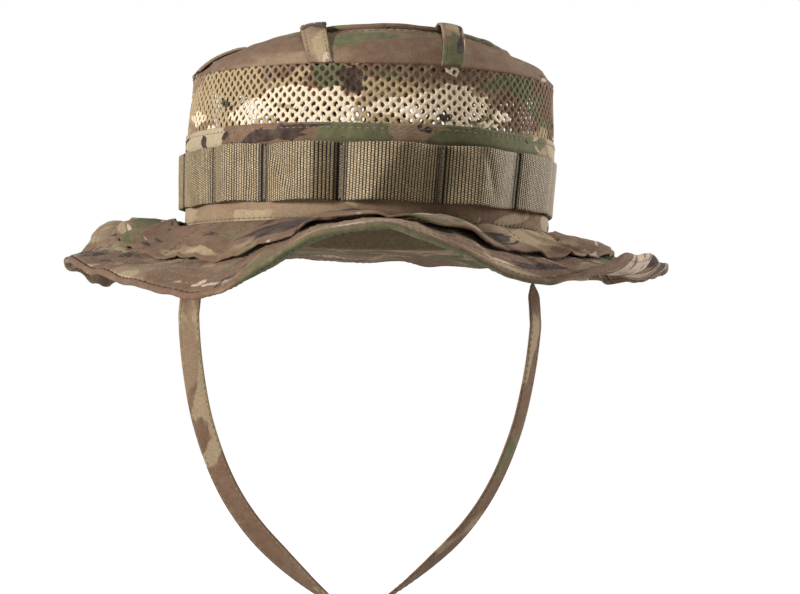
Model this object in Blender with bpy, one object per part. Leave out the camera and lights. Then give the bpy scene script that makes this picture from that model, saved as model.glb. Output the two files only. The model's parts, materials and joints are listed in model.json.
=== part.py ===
"""Boonie hat: sewn crown with a mesh vent and a webbing band, soft stitched brim, and a chin strap.

Metres, +Z up. The origin is the centre of the head opening, in the plane of the seam between crown
and brim. The hat faces -Y, and +X is the wearer's left.
"""

import bisect
import math

import bmesh
import bpy
from mathutils import Vector

# Clearances and cloth thicknesses
GAP = 0.0003
PANEL_CLOTH = 0.0012
MESH_CLOTH = 0.0010
TAPE_CLOTH = 0.0012
BINDING_CLOTH = 0.0007

# Crown: an upright oval wall, a sloping upper side and a slightly domed oval top
CROWN_HALF_WIDTH = 0.0835
CROWN_HALF_LENGTH = 0.099
LOWER_BAND_TOP = 0.044
MESH_TOP = 0.0707
UPPER_SIDE_BOTTOM = 0.071
TOP_HALF_WIDTH = 0.064
TOP_HALF_LENGTH = 0.080
TOP_SEAM_FRONT = 0.088
TOP_SEAM_SIDE = 0.0806
TOP_CENTRE = 0.0915
TOP_EDGE_INSET = 0.0013
TOP_RING_SCALES = (0.86, 0.66, 0.43, 0.20)
UPPER_INWARD = 0.0008
UPPER_DOWNWARD = 0.0010

# Webbing band: 25 mm webbing sewn down into equal loops
WEBBING_WIDTH = 0.0254
WEBBING_THICK = 0.0015
WEBBING_BOTTOM = 0.0096
WEBBING_LOOPS = 14
FACETS_PER_LOOP = 5
LOOP_RISE = (GAP, 0.0027, 0.0034, 0.0034, 0.0027)
FACETS = WEBBING_LOOPS * FACETS_PER_LOOP

# Seam binding, piping and sweatband
PIPING_RADIUS = 0.0009
PIPING_SIDES = 6
PIPING_LIFT = 0.00155
BINDING_LEVELS = (0.80, 1.0, 1.09)
SWEATBAND_THICK = 0.0015
SWEATBAND_BOTTOM = -0.002
SWEATBAND_TOP = 0.032

# Narrow self-fabric loops over the top seam
CROWN_LOOP_WIDTH = 0.0105
CROWN_LOOP_OFFSET = 0.029
FRONT_LOOP_SHIFT = -0.0055
CROWN_LOOP_LEVELS = (0.03, 0.16, 0.38, 0.62, 0.84, 0.96, 1.03, 1.07, 1.11, 1.15)
CROWN_LOOP_RISE = (GAP, 0.0018, 0.0027, 0.0030, 0.0034, 0.0037, 0.0036, 0.0030, 0.0018, GAP)

# Brim: two cloths over an interlining, all cut to one width, the free edge waving up and down
BRIM_WIDTH = 0.058
BRIM_CLOTH = 0.0010
INTERLINING = 0.0008
HEM_SETBACK = 0.003
BRIM_ROLL = 1.15
TAPE_INNER = 0.06
TAPE_OUTER = 0.50
BRIM_ROWS = (0.0, TAPE_INNER, TAPE_OUTER, 1.0)
BRIM_EDGE = (
    (-180, -0.0030),
    (-150, -0.0060),
    (-110, -0.0200),
    (-90, -0.0185),
    (-42, -0.0335),
    (-6, -0.0035),
    (25, -0.0250),
    (52, -0.0130),
    (78, -0.0145),
    (112, -0.0165),
    (150, -0.0065),
    (180, -0.0030),
)

# Chin strap: flat self-fabric tape, sewn to a tab inside each side, hanging in one loop
STRAP_WIDTH = 0.010
STRAP_THICK = 0.0015
STRAP_TWISTS = (math.radians(38), math.radians(72))
STRAP_SUBDIVISIONS = 2
STRAP_HINGE_Z = -0.009
STRAP_ROUTE = (
    (0.0793, -0.0045),
    (0.0793, -0.0120),
    (0.0793, -0.0190),
    (0.0799, -0.0240),
    (0.0805, -0.0290),
    (0.0810, -0.0350),
    (0.0812, -0.0420),
    (0.0793, -0.0600),
    (0.0756, -0.0800),
    (0.0713, -0.0950),
    (0.0650, -0.1110),
    (0.0573, -0.1250),
    (0.0475, -0.1380),
    (0.0355, -0.1500),
    (0.0235, -0.1605),
    (0.0120, -0.1695),
    (0.0043, -0.1770),
    (0.0013, -0.1840),
    (0.0013, -0.1950),
    (0.0013, -0.2060),
    (0.0043, -0.2145),
    (0.0092, -0.2220),
    (0.0106, -0.2305),
    (0.0068, -0.2385),
    (0.0000, -0.2415),
)
TWIST_BEGINS = -0.0165
TWIST_FULL = -0.027
TWIST_EASES = -0.140
TWIST_GONE = -0.180
ANCHOR_WIDTH = 0.012
ANCHOR_THICK = 0.0009
ANCHOR_X = 0.0806
ANCHOR_TOP = -0.0024
ANCHOR_BOTTOM = -0.0150
KEEPER_Z = -0.190
KEEPER_HEIGHT = 0.010
KEEPER_OUTER = (0.0042, 0.0072)
KEEPER_WINDOW = (0.0025, 0.0054)
KEEPER_CORNER = 0.0010


def clear_scene():
    """Remove whatever the scene holds."""
    for item in list(bpy.data.objects):
        bpy.data.objects.remove(item)


def cloth_material(name, color, roughness):
    """A plain non-metal material."""
    material = bpy.data.materials.new(name)
    material.use_nodes = True
    shader = material.node_tree.nodes["Principled BSDF"]
    shader.inputs["Base Color"].default_value = (*color, 1.0)
    shader.inputs["Roughness"].default_value = roughness
    shader.inputs["Metallic"].default_value = 0.0
    return material


def add_object(name, mesh, material, origin=Vector((0, 0, 0))):
    """Turn a bmesh in world coordinates into an object whose origin is at the given point."""
    bmesh.ops.recalc_face_normals(mesh, faces=mesh.faces)
    bmesh.ops.translate(mesh, verts=mesh.verts, vec=-origin)
    data = bpy.data.meshes.new(name)
    mesh.to_mesh(data)
    mesh.free()
    data.materials.append(material)
    item = bpy.data.objects.new(name, data)
    item.location = origin
    bpy.context.collection.objects.link(item)
    return item


def add_shell(name, outer, inner, closed, material, origin=Vector((0, 0, 0))):
    """A closed solid between two grids of points. A closed shell joins its last column to its first."""
    mesh = bmesh.new()
    faces = [[[mesh.verts.new(point) for point in column] for column in grid] for grid in (outer, inner)]
    front, back = faces
    columns = len(front)
    rows = len(front[0])
    spans = columns if closed else columns - 1
    for i in range(spans):
        n = (i + 1) % columns
        for grid in faces:
            for j in range(rows - 1):
                mesh.faces.new((grid[i][j], grid[n][j], grid[n][j + 1]))
                mesh.faces.new((grid[i][j], grid[n][j + 1], grid[i][j + 1]))
        for j in (0, rows - 1):
            mesh.faces.new((front[i][j], front[n][j], back[n][j], back[i][j]))
    if not closed:
        for i in (0, columns - 1):
            for j in range(rows - 1):
                mesh.faces.new((front[i][j], front[i][j + 1], back[i][j + 1], back[i][j]))
    return add_object(name, mesh, material, origin)


def oval(angle, half_width, half_length):
    """Point of an oval. The angle is 0 at the front and grows towards +X."""
    return Vector((half_width * math.sin(angle), -half_length * math.cos(angle), 0))


def outward(angle):
    """Level unit vector square to the crown's wall."""
    return Vector((math.sin(angle) / CROWN_HALF_WIDTH, -math.cos(angle) / CROWN_HALF_LENGTH, 0)).normalized()


def facet_angles():
    """Angles of the facet corners, evenly spaced along the crown's oval, with a facet square to -Y."""
    steps = 3600
    angles = [2 * math.pi * i / steps for i in range(steps + 1)]
    lengths = [0.0]
    for before, after in zip(angles, angles[1:]):
        start = oval(before, CROWN_HALF_WIDTH, CROWN_HALF_LENGTH)
        lengths.append(lengths[-1] + (oval(after, CROWN_HALF_WIDTH, CROWN_HALF_LENGTH) - start).length)
    found = []
    for k in range(FACETS):
        target = lengths[-1] * (k + 0.5) / FACETS
        i = bisect.bisect_left(lengths, target)
        share = (target - lengths[i - 1]) / (lengths[i] - lengths[i - 1])
        found.append(angles[i - 1] + share * (angles[i] - angles[i - 1]))
    return found


def wall_point(angle, distance, height):
    """Point at a distance outside the crown cloth's upright outer face."""
    point = oval(angle, CROWN_HALF_WIDTH, CROWN_HALF_LENGTH) + outward(angle) * distance
    point.z = height
    return point


def top_seam_height(angle):
    """The top seam is lower at the sides than at the front and back."""
    middle = (TOP_SEAM_FRONT + TOP_SEAM_SIDE) / 2
    return middle + (TOP_SEAM_FRONT - TOP_SEAM_SIDE) / 2 * math.cos(2 * angle)


def skin_size(level):
    """Half width and half length of the crown at a level: 0 mesh seam, 1 top seam, 2 centre of the top."""
    if level > 1:
        return TOP_HALF_WIDTH * (2 - level), TOP_HALF_LENGTH * (2 - level)
    width = CROWN_HALF_WIDTH + (TOP_HALF_WIDTH - CROWN_HALF_WIDTH) * level
    return width, CROWN_HALF_LENGTH + (TOP_HALF_LENGTH - CROWN_HALF_LENGTH) * level


def skin_point(angle, level):
    """Point of the crown's outer face, on the upper side up to level 1 and on the top from there."""
    point = oval(angle, *skin_size(level))
    seam = top_seam_height(angle)
    if level > 1:
        point.z = TOP_CENTRE + (seam - TOP_CENTRE) * (2 - level) ** 2
    else:
        point.z = UPPER_SIDE_BOTTOM + (seam - UPPER_SIDE_BOTTOM) * level
    return point


def brim_edge_height(angle):
    """Height of the brim's free edge, easing from one crest or trough to the next."""
    degrees = (math.degrees(angle) + 180) % 360 - 180
    for (start, low), (end, high) in zip(BRIM_EDGE, BRIM_EDGE[1:]):
        if start <= degrees <= end:
            share = (1 - math.cos(math.pi * (degrees - start) / (end - start))) / 2
            return low + (high - low) * share
    return BRIM_EDGE[0][1]


def brim_point(angle, share):
    """Point of the brim's upper face, from the seam at share 0 to the free edge at share 1."""
    drop = brim_edge_height(angle)
    run = math.sqrt(BRIM_WIDTH**2 - drop**2) + PANEL_CLOTH
    return wall_point(angle, run * share - PANEL_CLOTH, drop * share**BRIM_ROLL)


def lowered(point, amount):
    """The same point, further down."""
    return point - Vector((0, 0, amount))


def add_wall(name, distance, thick, bottom, top, angles, shift, material):
    """Upright band along the crown. The shift along Y opens the side seams between two halves."""
    closed = len(angles) == FACETS
    grids = []
    for offset in (distance, distance - thick):
        grid = [[wall_point(angle, offset, height) for height in (bottom, top)] for angle in angles]
        grids.append(grid)
    if not closed:
        open_side_seams(grids, shift)
    return add_shell(name, grids[0], grids[1], closed, material)


def open_side_seams(grids, shift):
    """Move the end columns of a half band clear of the other half."""
    for grid in grids:
        for column in (grid[0], grid[-1]):
            for point in column:
                point.y += shift


def add_upper_side(name, angles, shift, material):
    """Half of the sloping band between the mesh and the top seam."""
    outer = [[skin_point(angle, level) for level in (0, 0.5, 1)] for angle in angles]
    inner = []
    for angle, column in zip(angles, outer):
        inset = outward(angle)
        foot = column[0] - inset * PANEL_CLOTH
        rest = [lowered(point - inset * UPPER_INWARD, UPPER_DOWNWARD) for point in column[1:]]
        inner.append([foot, *rest])
    open_side_seams((outer, inner), shift)
    return add_shell(name, outer, inner, False, material)


def add_top_panel(name, angles, material):
    """Domed oval panel inside the top seam."""
    mesh = bmesh.new()
    skins = []
    for drop in (0.0, PANEL_CLOTH):
        edge = [
            lowered(skin_point(angle, 1) - outward(angle) * TOP_EDGE_INSET, drop - UPPER_INWARD / 4)
            for angle in angles
        ]
        rings = [edge]
        for scale in TOP_RING_SCALES:
            rings.append([lowered(skin_point(angle, 2 - scale), drop) for angle in angles])
        verts = [[mesh.verts.new(point) for point in ring] for ring in rings]
        centre = mesh.verts.new((0, 0, TOP_CENTRE - drop))
        for low, high in zip(verts, verts[1:]):
            for i in range(len(angles)):
                n = (i + 1) % len(angles)
                mesh.faces.new((low[i], low[n], high[n]))
                mesh.faces.new((low[i], high[n], high[i]))
        for i in range(len(angles)):
            mesh.faces.new((verts[-1][i], verts[-1][(i + 1) % len(angles)], centre))
        skins.append(verts[0])
    for i in range(len(angles)):
        n = (i + 1) % len(angles)
        mesh.faces.new((skins[0][i], skins[0][n], skins[1][n], skins[1][i]))
    return add_object(name, mesh, material)


def add_piping(name, angles, material):
    """Round welt standing on the top seam."""
    mesh = bmesh.new()
    rings = []
    for angle in angles:
        centre = skin_point(angle, 1) - outward(angle) * TOP_EDGE_INSET / 2
        centre.z += PIPING_LIFT
        ring = []
        for side in range(PIPING_SIDES):
            turn = 2 * math.pi * side / PIPING_SIDES
            spread = outward(angle) * math.cos(turn) * PIPING_RADIUS
            ring.append(mesh.verts.new(centre + spread + Vector((0, 0, math.sin(turn) * PIPING_RADIUS))))
        rings.append(ring)
    for i, ring in enumerate(rings):
        after = rings[(i + 1) % len(rings)]
        for side in range(PIPING_SIDES):
            up = (side + 1) % PIPING_SIDES
            mesh.faces.new((ring[side], after[side], after[up], ring[up]))
    return add_object(name, mesh, material)


def add_seam_binding(name, angles, material):
    """Tape over the raw edges of the top seam, inside the crown."""
    outer = []
    inner = []
    for angle in angles:
        inset = outward(angle)
        column = [
            lowered(skin_point(angle, level) - inset * (UPPER_INWARD + GAP / 2), PANEL_CLOTH + GAP * 2)
            for level in BINDING_LEVELS
        ]
        outer.append(column)
        inner.append([lowered(point - inset * GAP, BINDING_CLOTH) for point in column])
    return add_shell(name, outer, inner, True, material)


def add_webbing(name, angles, material):
    """One length of webbing round the crown, standing off in a loop between each two tacks."""
    outer = []
    inner = []
    for i, angle in enumerate(angles):
        rise = LOOP_RISE[(i + FACETS_PER_LOOP // 2 + 1) % FACETS_PER_LOOP]
        heights = (WEBBING_BOTTOM, WEBBING_BOTTOM + WEBBING_WIDTH)
        outer.append([wall_point(angle, rise + WEBBING_THICK, height) for height in heights])
        inner.append([wall_point(angle, rise, height) for height in heights])
    return add_shell(name, outer, inner, True, material)


def add_brim_layer(name, angles, depth, thick, setback, material):
    """One layer of the brim, so far under its upper face."""
    outer = []
    inner = []
    for angle in angles:
        column = [lowered(brim_point(angle, share), depth) for share in BRIM_ROWS]
        last_run = (column[-1] - column[-2]).length
        column[-1] = column[-1].lerp(column[-2], setback / last_run)
        outer.append(column)
        inner.append([lowered(point, thick) for point in column])
    return add_shell(name, outer, inner, True, material)


def add_brim_tape(name, angles, material):
    """Tape laid round the brim and tacked down, standing up in a loop between each two tacks."""
    outer = []
    inner = []
    for i, angle in enumerate(angles):
        rise = LOOP_RISE[(i + FACETS_PER_LOOP // 2 + 1) % FACETS_PER_LOOP]
        column = [brim_point(angle, share) for share in (TAPE_INNER, TAPE_OUTER)]
        outer.append([lowered(point, -rise - TAPE_CLOTH) for point in column])
        inner.append([lowered(point, -rise) for point in column])
    return add_shell(name, outer, inner, True, material)


def crown_loop_angle(level, across, along_y, back):
    """Angle at which the crown at a level passes the plane x = across, or y = across for a side loop."""
    half_width, half_length = skin_size(level)
    if along_y:
        angle = math.asin(across / half_width)
        return math.pi - angle if back else angle
    angle = math.acos(-across / half_length)
    return -angle if back else angle


def crown_normal(angle, level):
    """Unit vector out of the crown's skin, from the slopes of the skin round and up the crown."""
    step = 0.001
    base = skin_point(angle, level)
    round_crown = skin_point(angle + step, level) - base
    up_crown = skin_point(angle, min(level + step, 2)) - base
    normal = round_crown.cross(up_crown).normalized()
    return normal if normal.z > 0 else -normal


def add_crown_loop(name, centre, along_y, back, material):
    """Narrow tape from the mesh seam over the top seam, sewn down at both ends only."""
    outer = []
    inner = []
    for level, rise in zip(CROWN_LOOP_LEVELS, CROWN_LOOP_RISE):
        middle = crown_normal(crown_loop_angle(level, centre, along_y, back), level)
        column = []
        for side in (-0.5, 0.5):
            angle = crown_loop_angle(level, centre + side * CROWN_LOOP_WIDTH, along_y, back)
            column.append(skin_point(angle, level) + middle * rise)
        inner.append(column)
        outer.append([point + middle * TAPE_CLOTH for point in column])
    return add_shell(name, outer, inner, False, material)


def add_anchor(name, side, material):
    """Sewn tab that holds one end of the strap, inside the crown."""
    mesh = bmesh.new()
    bmesh.ops.create_cube(mesh, size=1)
    size = Vector((ANCHOR_THICK, ANCHOR_WIDTH, ANCHOR_TOP - ANCHOR_BOTTOM))
    bmesh.ops.scale(mesh, vec=size, verts=mesh.verts)
    centre = Vector((side * (ANCHOR_X + ANCHOR_THICK / 2), 0, (ANCHOR_TOP + ANCHOR_BOTTOM) / 2))
    bmesh.ops.translate(mesh, vec=centre, verts=mesh.verts)
    return add_object(name, mesh, material)


def smooth_route(points, subdivisions):
    """Catmull-Rom curve through the route's points."""
    curve = []
    padded = [points[0] * 2 - points[1], *points, points[-1] * 2 - points[-2]]
    for a, b, c, d in zip(padded, padded[1:], padded[2:], padded[3:]):
        for k in range(subdivisions):
            t = k / subdivisions
            bend = (2 * a - 5 * b + 4 * c - d) * t**2 + (3 * b - a - 3 * c + d) * t**3
            curve.append((2 * b + (c - a) * t + bend) / 2)
    curve.append(points[-1])
    return curve


def ease(value, start, end):
    """0 before start, 1 after end, smooth between."""
    share = min(max((value - start) / (end - start), 0), 1)
    return share * share * (3 - 2 * share)


def twist_share(height):
    """The tape turns to face forward below its ends and turns back again above the keeper."""
    return ease(height, TWIST_BEGINS, TWIST_FULL) - ease(height, TWIST_EASES, TWIST_GONE)


def add_chin_strap(name, material):
    """One length of flat tape from tab to tab, hanging in a loop, its faces sideways at the ends."""
    half = [Vector((x, 0, z)) for x, z in STRAP_ROUTE]
    other = [Vector((-point.x, 0, point.z)) for point in half[-2::-1]]
    path = smooth_route(half + other, STRAP_SUBDIVISIONS)
    outer = []
    inner = []
    for i, point in enumerate(path):
        along = (path[min(i + 1, len(path) - 1)] - path[max(i - 1, 0)]).normalized()
        across = Vector((0, 1, 0))
        face = along.cross(across).normalized()
        turn = twist_share(point.z) * STRAP_TWISTS[0 if i < len(path) / 2 else 1]
        width = across * math.cos(turn) + face * math.sin(turn)
        depth = face * math.cos(turn) - across * math.sin(turn)
        edges = [point + width * (side * STRAP_WIDTH) for side in (-0.5, 0.5)]
        outer.append([edge + depth * (STRAP_THICK / 2) for edge in edges])
        inner.append([edge - depth * (STRAP_THICK / 2) for edge in edges])
    return add_shell(name, outer, inner, False, material, Vector((0, 0, STRAP_HINGE_Z)))


def rectangle(half_width, half_depth, corner):
    """Corner points of a rectangle with cut corners."""
    points = []
    for x_side, y_side in ((1, -1), (1, 1), (-1, 1), (-1, -1)):
        low_first = x_side * y_side < 0
        cut = [
            Vector((x_side * (half_width - corner), y_side * half_depth, 0)),
            Vector((x_side * half_width, y_side * (half_depth - corner), 0)),
        ]
        points += cut if low_first else cut[::-1]
    return points


def add_keeper(name, strap, material):
    """Sleeve round both runs of the strap, free to slide on them."""
    heights = [Vector((0, 0, KEEPER_Z + side * KEEPER_HEIGHT / 2)) for side in (-1, 1)]
    outer = [[point + height for height in heights] for point in rectangle(*KEEPER_OUTER, KEEPER_CORNER)]
    window = rectangle(*KEEPER_WINDOW, KEEPER_CORNER / 2)
    inner = [[point + height for height in heights] for point in window]
    keeper = add_shell(name, outer, inner, True, material, Vector((0, 0, KEEPER_Z)))
    keeper.parent = strap
    keeper.location = Vector((0, 0, KEEPER_Z)) - strap.location
    return keeper


def build():
    """Make every piece of the hat."""
    clear_scene()
    camouflage = cloth_material("camouflage_cloth", (0.23, 0.16, 0.10), 0.9)
    lining = cloth_material("lining_cloth", (0.20, 0.15, 0.10), 0.95)
    vent = cloth_material("vent_mesh", (0.36, 0.29, 0.18), 0.9)
    webbing = cloth_material("nylon_webbing", (0.27, 0.22, 0.12), 0.7)
    piping = cloth_material("seam_piping", (0.12, 0.08, 0.055), 0.9)
    stiffener = cloth_material("brim_stiffener", (0.50, 0.47, 0.40), 0.95)
    leather = cloth_material("keeper_leather", (0.10, 0.065, 0.04), 0.6)

    angles = facet_angles()
    quarter = FACETS // 4
    front_angles = angles[-quarter - 1 :] + angles[: quarter + 1]
    rear_angles = angles[quarter : -quarter]
    halves = (("front", front_angles, -GAP / 2), ("rear", rear_angles, GAP / 2))

    add_top_panel("crown_top_panel", angles, camouflage)
    for half, half_angles, shift in halves:
        add_upper_side(f"crown_upper_{half}", half_angles, shift, camouflage)
        mesh_bottom = LOWER_BAND_TOP + GAP
        add_wall(f"mesh_vent_{half}", 0, MESH_CLOTH, mesh_bottom, MESH_TOP, half_angles, shift, vent)
        add_wall(f"crown_lower_{half}", 0, PANEL_CLOTH, GAP, LOWER_BAND_TOP, half_angles, shift, camouflage)
    add_piping("top_seam_piping", angles, piping)
    add_seam_binding("top_seam_tape", angles, lining)
    add_webbing("foliage_webbing", angles, webbing)
    band_face = -PANEL_CLOTH - GAP
    add_wall("sweatband", band_face, SWEATBAND_THICK, SWEATBAND_BOTTOM, SWEATBAND_TOP, angles, 0, lining)

    add_brim_layer("brim_top_cloth", angles, 0, BRIM_CLOTH, 0, camouflage)
    interlining_depth = BRIM_CLOTH + GAP
    add_brim_layer("brim_interlining", angles, interlining_depth, INTERLINING, HEM_SETBACK, stiffener)
    under_depth = interlining_depth + INTERLINING + GAP
    add_brim_layer("brim_under_cloth", angles, under_depth, BRIM_CLOTH, 0, camouflage)
    add_brim_tape("brim_loop_tape", angles, camouflage)

    side = CROWN_LOOP_OFFSET
    shift = FRONT_LOOP_SHIFT
    add_crown_loop("crown_loop_front_left", side + shift, True, False, camouflage)
    add_crown_loop("crown_loop_front_right", shift - side, True, False, camouflage)
    add_crown_loop("crown_loop_rear_left", side, True, True, camouflage)
    add_crown_loop("crown_loop_rear_right", -side, True, True, camouflage)
    add_crown_loop("crown_loop_left", 0, False, False, camouflage)
    add_crown_loop("crown_loop_right", 0, False, True, camouflage)

    add_anchor("strap_anchor_left", 1, camouflage)
    add_anchor("strap_anchor_right", -1, camouflage)
    strap = add_chin_strap("chin_strap", camouflage)
    add_keeper("strap_slider", strap, leather)


build()
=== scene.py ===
"""Looks of the boonie hat: cloth, mesh, webbing, stitching and strap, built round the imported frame.

The hat faces -Y. A place on it is given by s, the distance round the crown from the middle of the
front in metres, growing towards +X, and by a height, or by a share of the way across the brim.
"""

import json
import math

import bpy
import numpy as np
from mathutils import Matrix, Vector

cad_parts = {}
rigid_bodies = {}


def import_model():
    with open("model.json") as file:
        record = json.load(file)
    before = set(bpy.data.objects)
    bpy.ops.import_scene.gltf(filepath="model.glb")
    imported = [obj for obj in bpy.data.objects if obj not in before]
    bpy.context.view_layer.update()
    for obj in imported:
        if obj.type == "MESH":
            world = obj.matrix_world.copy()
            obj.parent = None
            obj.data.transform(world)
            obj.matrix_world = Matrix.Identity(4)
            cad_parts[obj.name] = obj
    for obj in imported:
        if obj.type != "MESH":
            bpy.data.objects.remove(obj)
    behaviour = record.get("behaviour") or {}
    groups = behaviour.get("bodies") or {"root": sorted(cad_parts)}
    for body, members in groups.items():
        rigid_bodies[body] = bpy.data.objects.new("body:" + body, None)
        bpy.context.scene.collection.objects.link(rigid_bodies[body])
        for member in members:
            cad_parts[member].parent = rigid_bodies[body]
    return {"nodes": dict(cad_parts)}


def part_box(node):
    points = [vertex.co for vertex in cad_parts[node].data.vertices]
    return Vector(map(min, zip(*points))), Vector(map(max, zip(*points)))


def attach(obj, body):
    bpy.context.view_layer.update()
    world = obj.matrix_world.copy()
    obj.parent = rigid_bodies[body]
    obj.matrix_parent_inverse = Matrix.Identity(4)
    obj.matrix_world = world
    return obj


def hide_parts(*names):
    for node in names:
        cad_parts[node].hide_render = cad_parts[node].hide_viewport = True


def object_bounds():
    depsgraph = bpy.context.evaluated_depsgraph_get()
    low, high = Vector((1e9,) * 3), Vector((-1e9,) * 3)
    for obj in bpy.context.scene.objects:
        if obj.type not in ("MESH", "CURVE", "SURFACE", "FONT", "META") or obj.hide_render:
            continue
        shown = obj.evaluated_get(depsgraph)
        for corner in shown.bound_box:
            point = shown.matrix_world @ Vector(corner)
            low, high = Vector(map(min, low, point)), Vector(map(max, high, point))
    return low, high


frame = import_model()
CAD_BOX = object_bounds()
TAU = 2 * math.pi
MM = 0.001

# ---------------------------------------------------------------- sizes read from the frame

band_low, band_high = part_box("crown_lower_front")
web_low, web_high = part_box("foliage_webbing")
top_low, top_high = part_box("crown_top_panel")
sweat_low, sweat_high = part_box("sweatband")

CROWN_A = band_high.x
CROWN_B = -band_low.y
BAND_TOP = band_high.z
MESH_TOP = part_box("mesh_vent_front")[1].z
WEB_BOTTOM = web_low.z
WEB_TOP = web_high.z
SEAM_INSET = 1.3 * MM
TOP_A = top_high.x + SEAM_INSET
TOP_B = top_high.y + SEAM_INSET
SEAM_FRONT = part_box("crown_upper_front")[1].z
SEAM_SIDE = top_low.z + MM
TOP_CENTRE = top_high.z
LEAN = 0.022
BRIM_WIDTH = 58 * MM
LOOPS = 14


# ---------------------------------------------------------------- arrays of points

def unit(vectors):
    """The same directions, each of length 1."""
    return vectors / np.linalg.norm(vectors, axis=-1, keepdims=True)


def run_of(points):
    """Distance of each point along a line of points."""
    return np.concatenate([[0], np.cumsum(np.linalg.norm(np.diff(points, axis=0), axis=1))])


def grid(s, across):
    """Distances round the hat and positions across a piece, as two arrays of one shape."""
    return np.broadcast_arrays(s[:, None], across[None, :])


def bump_at(value, centre, width):
    """A smooth bell."""
    return np.exp(-(((value - centre) / width) ** 2))


def smooth(value, low, high):
    """0 below low, 1 above high, smooth between."""
    t = np.clip((value - low) / (high - low), 0, 1)
    return t * t * (3 - 2 * t)


# ---------------------------------------------------------------- the crown as surfaces

def oval(theta, a, b):
    """Points of an oval in plan, theta 0 at the front and growing towards +X."""
    return np.stack([a * np.sin(theta), -b * np.cos(theta)], axis=-1)


FINE = np.linspace(-math.pi, math.pi, 14401)
FINE_LENGTH = run_of(oval(FINE, CROWN_A, CROWN_B))
ROUND = float(FINE_LENGTH[-1])
FINE_LENGTH = FINE_LENGTH - ROUND / 2


def theta_of(s):
    """Angle at a distance s round the crown, measured from the middle of the front."""
    wrapped = (np.asarray(s) + ROUND / 2) % ROUND - ROUND / 2
    return np.interp(wrapped, FINE_LENGTH, FINE)


def length_of(theta):
    """Distance round the crown at an angle."""
    wrapped = (np.asarray(theta) + math.pi) % TAU - math.pi
    return np.interp(wrapped, FINE, FINE_LENGTH)


def outward(theta):
    """Level unit vectors square to the crown's wall, in plan."""
    return unit(np.stack([np.sin(theta) / CROWN_A, -np.cos(theta) / CROWN_B], axis=-1))


def outward_in_space(theta):
    """The same vectors with their zero height."""
    level = outward(theta)
    return np.concatenate([level, np.zeros((*level.shape[:-1], 1))], axis=-1)


def waves(s, z, seed, coarse, fine, count=7, slant=40.0):
    """Smooth folds that join up round the hat, between -1 and 1 or so."""
    rng = np.random.default_rng(seed)
    total = np.zeros(np.broadcast(s, z).shape)
    for _ in range(count):
        turns = rng.integers(coarse, fine + 1)
        lean = rng.uniform(-slant, slant)
        phase = rng.uniform(0, TAU)
        total = total + np.sin(TAU * turns * s / ROUND + lean * z + phase) * rng.uniform(0.4, 1)
    return total / math.sqrt(count) / 0.75


def crease(values, sharpness=2.0):
    """Turns smooth waves into soft ridges with narrower crests."""
    return 1 - np.abs(np.tanh(values * sharpness))


def crown_slack(s, z):
    """How far the cloth of the wall stands off its plain oval."""
    soft = waves(s, z, 3, 3, 9, slant=14) * 0.55 * MM
    small = waves(s, z, 8, 14, 34, slant=70) * 0.16 * MM
    return soft + small * smooth(z, 0.0, 0.01)


def wall_form(theta, z):
    """The wall swells a little above the webbing, most at the front, and draws in again under the top."""
    swell = 1.1 + 1.2 * np.cos(theta) ** 2
    return MM * swell * (smooth(z, 0.004, 0.040) - 1.2 * smooth(z, 0.044, MESH_TOP))


def wall(s, out, z):
    """Points of the crown's wall, out metres outside its cloth."""
    s, out, z = np.broadcast_arrays(s, out, z)
    theta = theta_of(s)
    away = out + crown_slack(s, z) + wall_form(theta, z)
    plan = oval(theta, CROWN_A, CROWN_B) + outward(theta) * away[..., None]
    return np.stack([plan[..., 0] + LEAN * np.maximum(z, 0), plan[..., 1], z], axis=-1)


def seam_height(theta):
    """Height of the top seam."""
    return (SEAM_FRONT + SEAM_SIDE) / 2 + (SEAM_FRONT - SEAM_SIDE) / 2 * np.cos(2 * theta)


def skin_plain(theta, level):
    """The crown above the mesh: level 0 at the mesh, 1 at the top seam, 2 at the middle of the top."""
    theta, level = np.broadcast_arrays(theta, level)
    side = np.minimum(level, 1)
    on_side, on_top = np.clip(1 - level, 0, 1), np.clip(2 - level, 0, 1)
    a = (CROWN_A + (TOP_A - CROWN_A) * side) * np.where(level > 1, on_top, 1)
    b = (CROWN_B + (TOP_B - CROWN_B) * side) * np.where(level > 1, on_top, 1)
    seam = seam_height(theta)
    low = MESH_TOP + (seam - MESH_TOP) * side
    high = TOP_CENTRE + (seam - TOP_CENTRE) * on_top**2
    z = np.where(level > 1, high, low)
    plan = oval(theta, 1, 1) * np.stack([a, b], axis=-1)
    s = length_of(theta)
    slack = (crown_slack(s, MESH_TOP) + wall_form(theta, MESH_TOP)) * on_side
    plan = plan + outward(theta) * slack[..., None]
    return np.stack([plan[..., 0] + LEAN * z, plan[..., 1], z], axis=-1)


def skin_normal(theta, level):
    """Unit vectors out of the crown above the mesh."""
    theta, level = np.broadcast_arrays(theta, level)
    step = 0.004
    level = np.where((level > 0.97) & (level <= 1), 0.97, np.minimum(level, 1.97))
    base = skin_plain(theta, level)
    across = skin_plain(theta + step, level) - base
    up = skin_plain(theta, level + step) - base
    n = unit(np.cross(across, up))
    return np.where(n[..., 2:3] < 0, -n, n)


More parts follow.
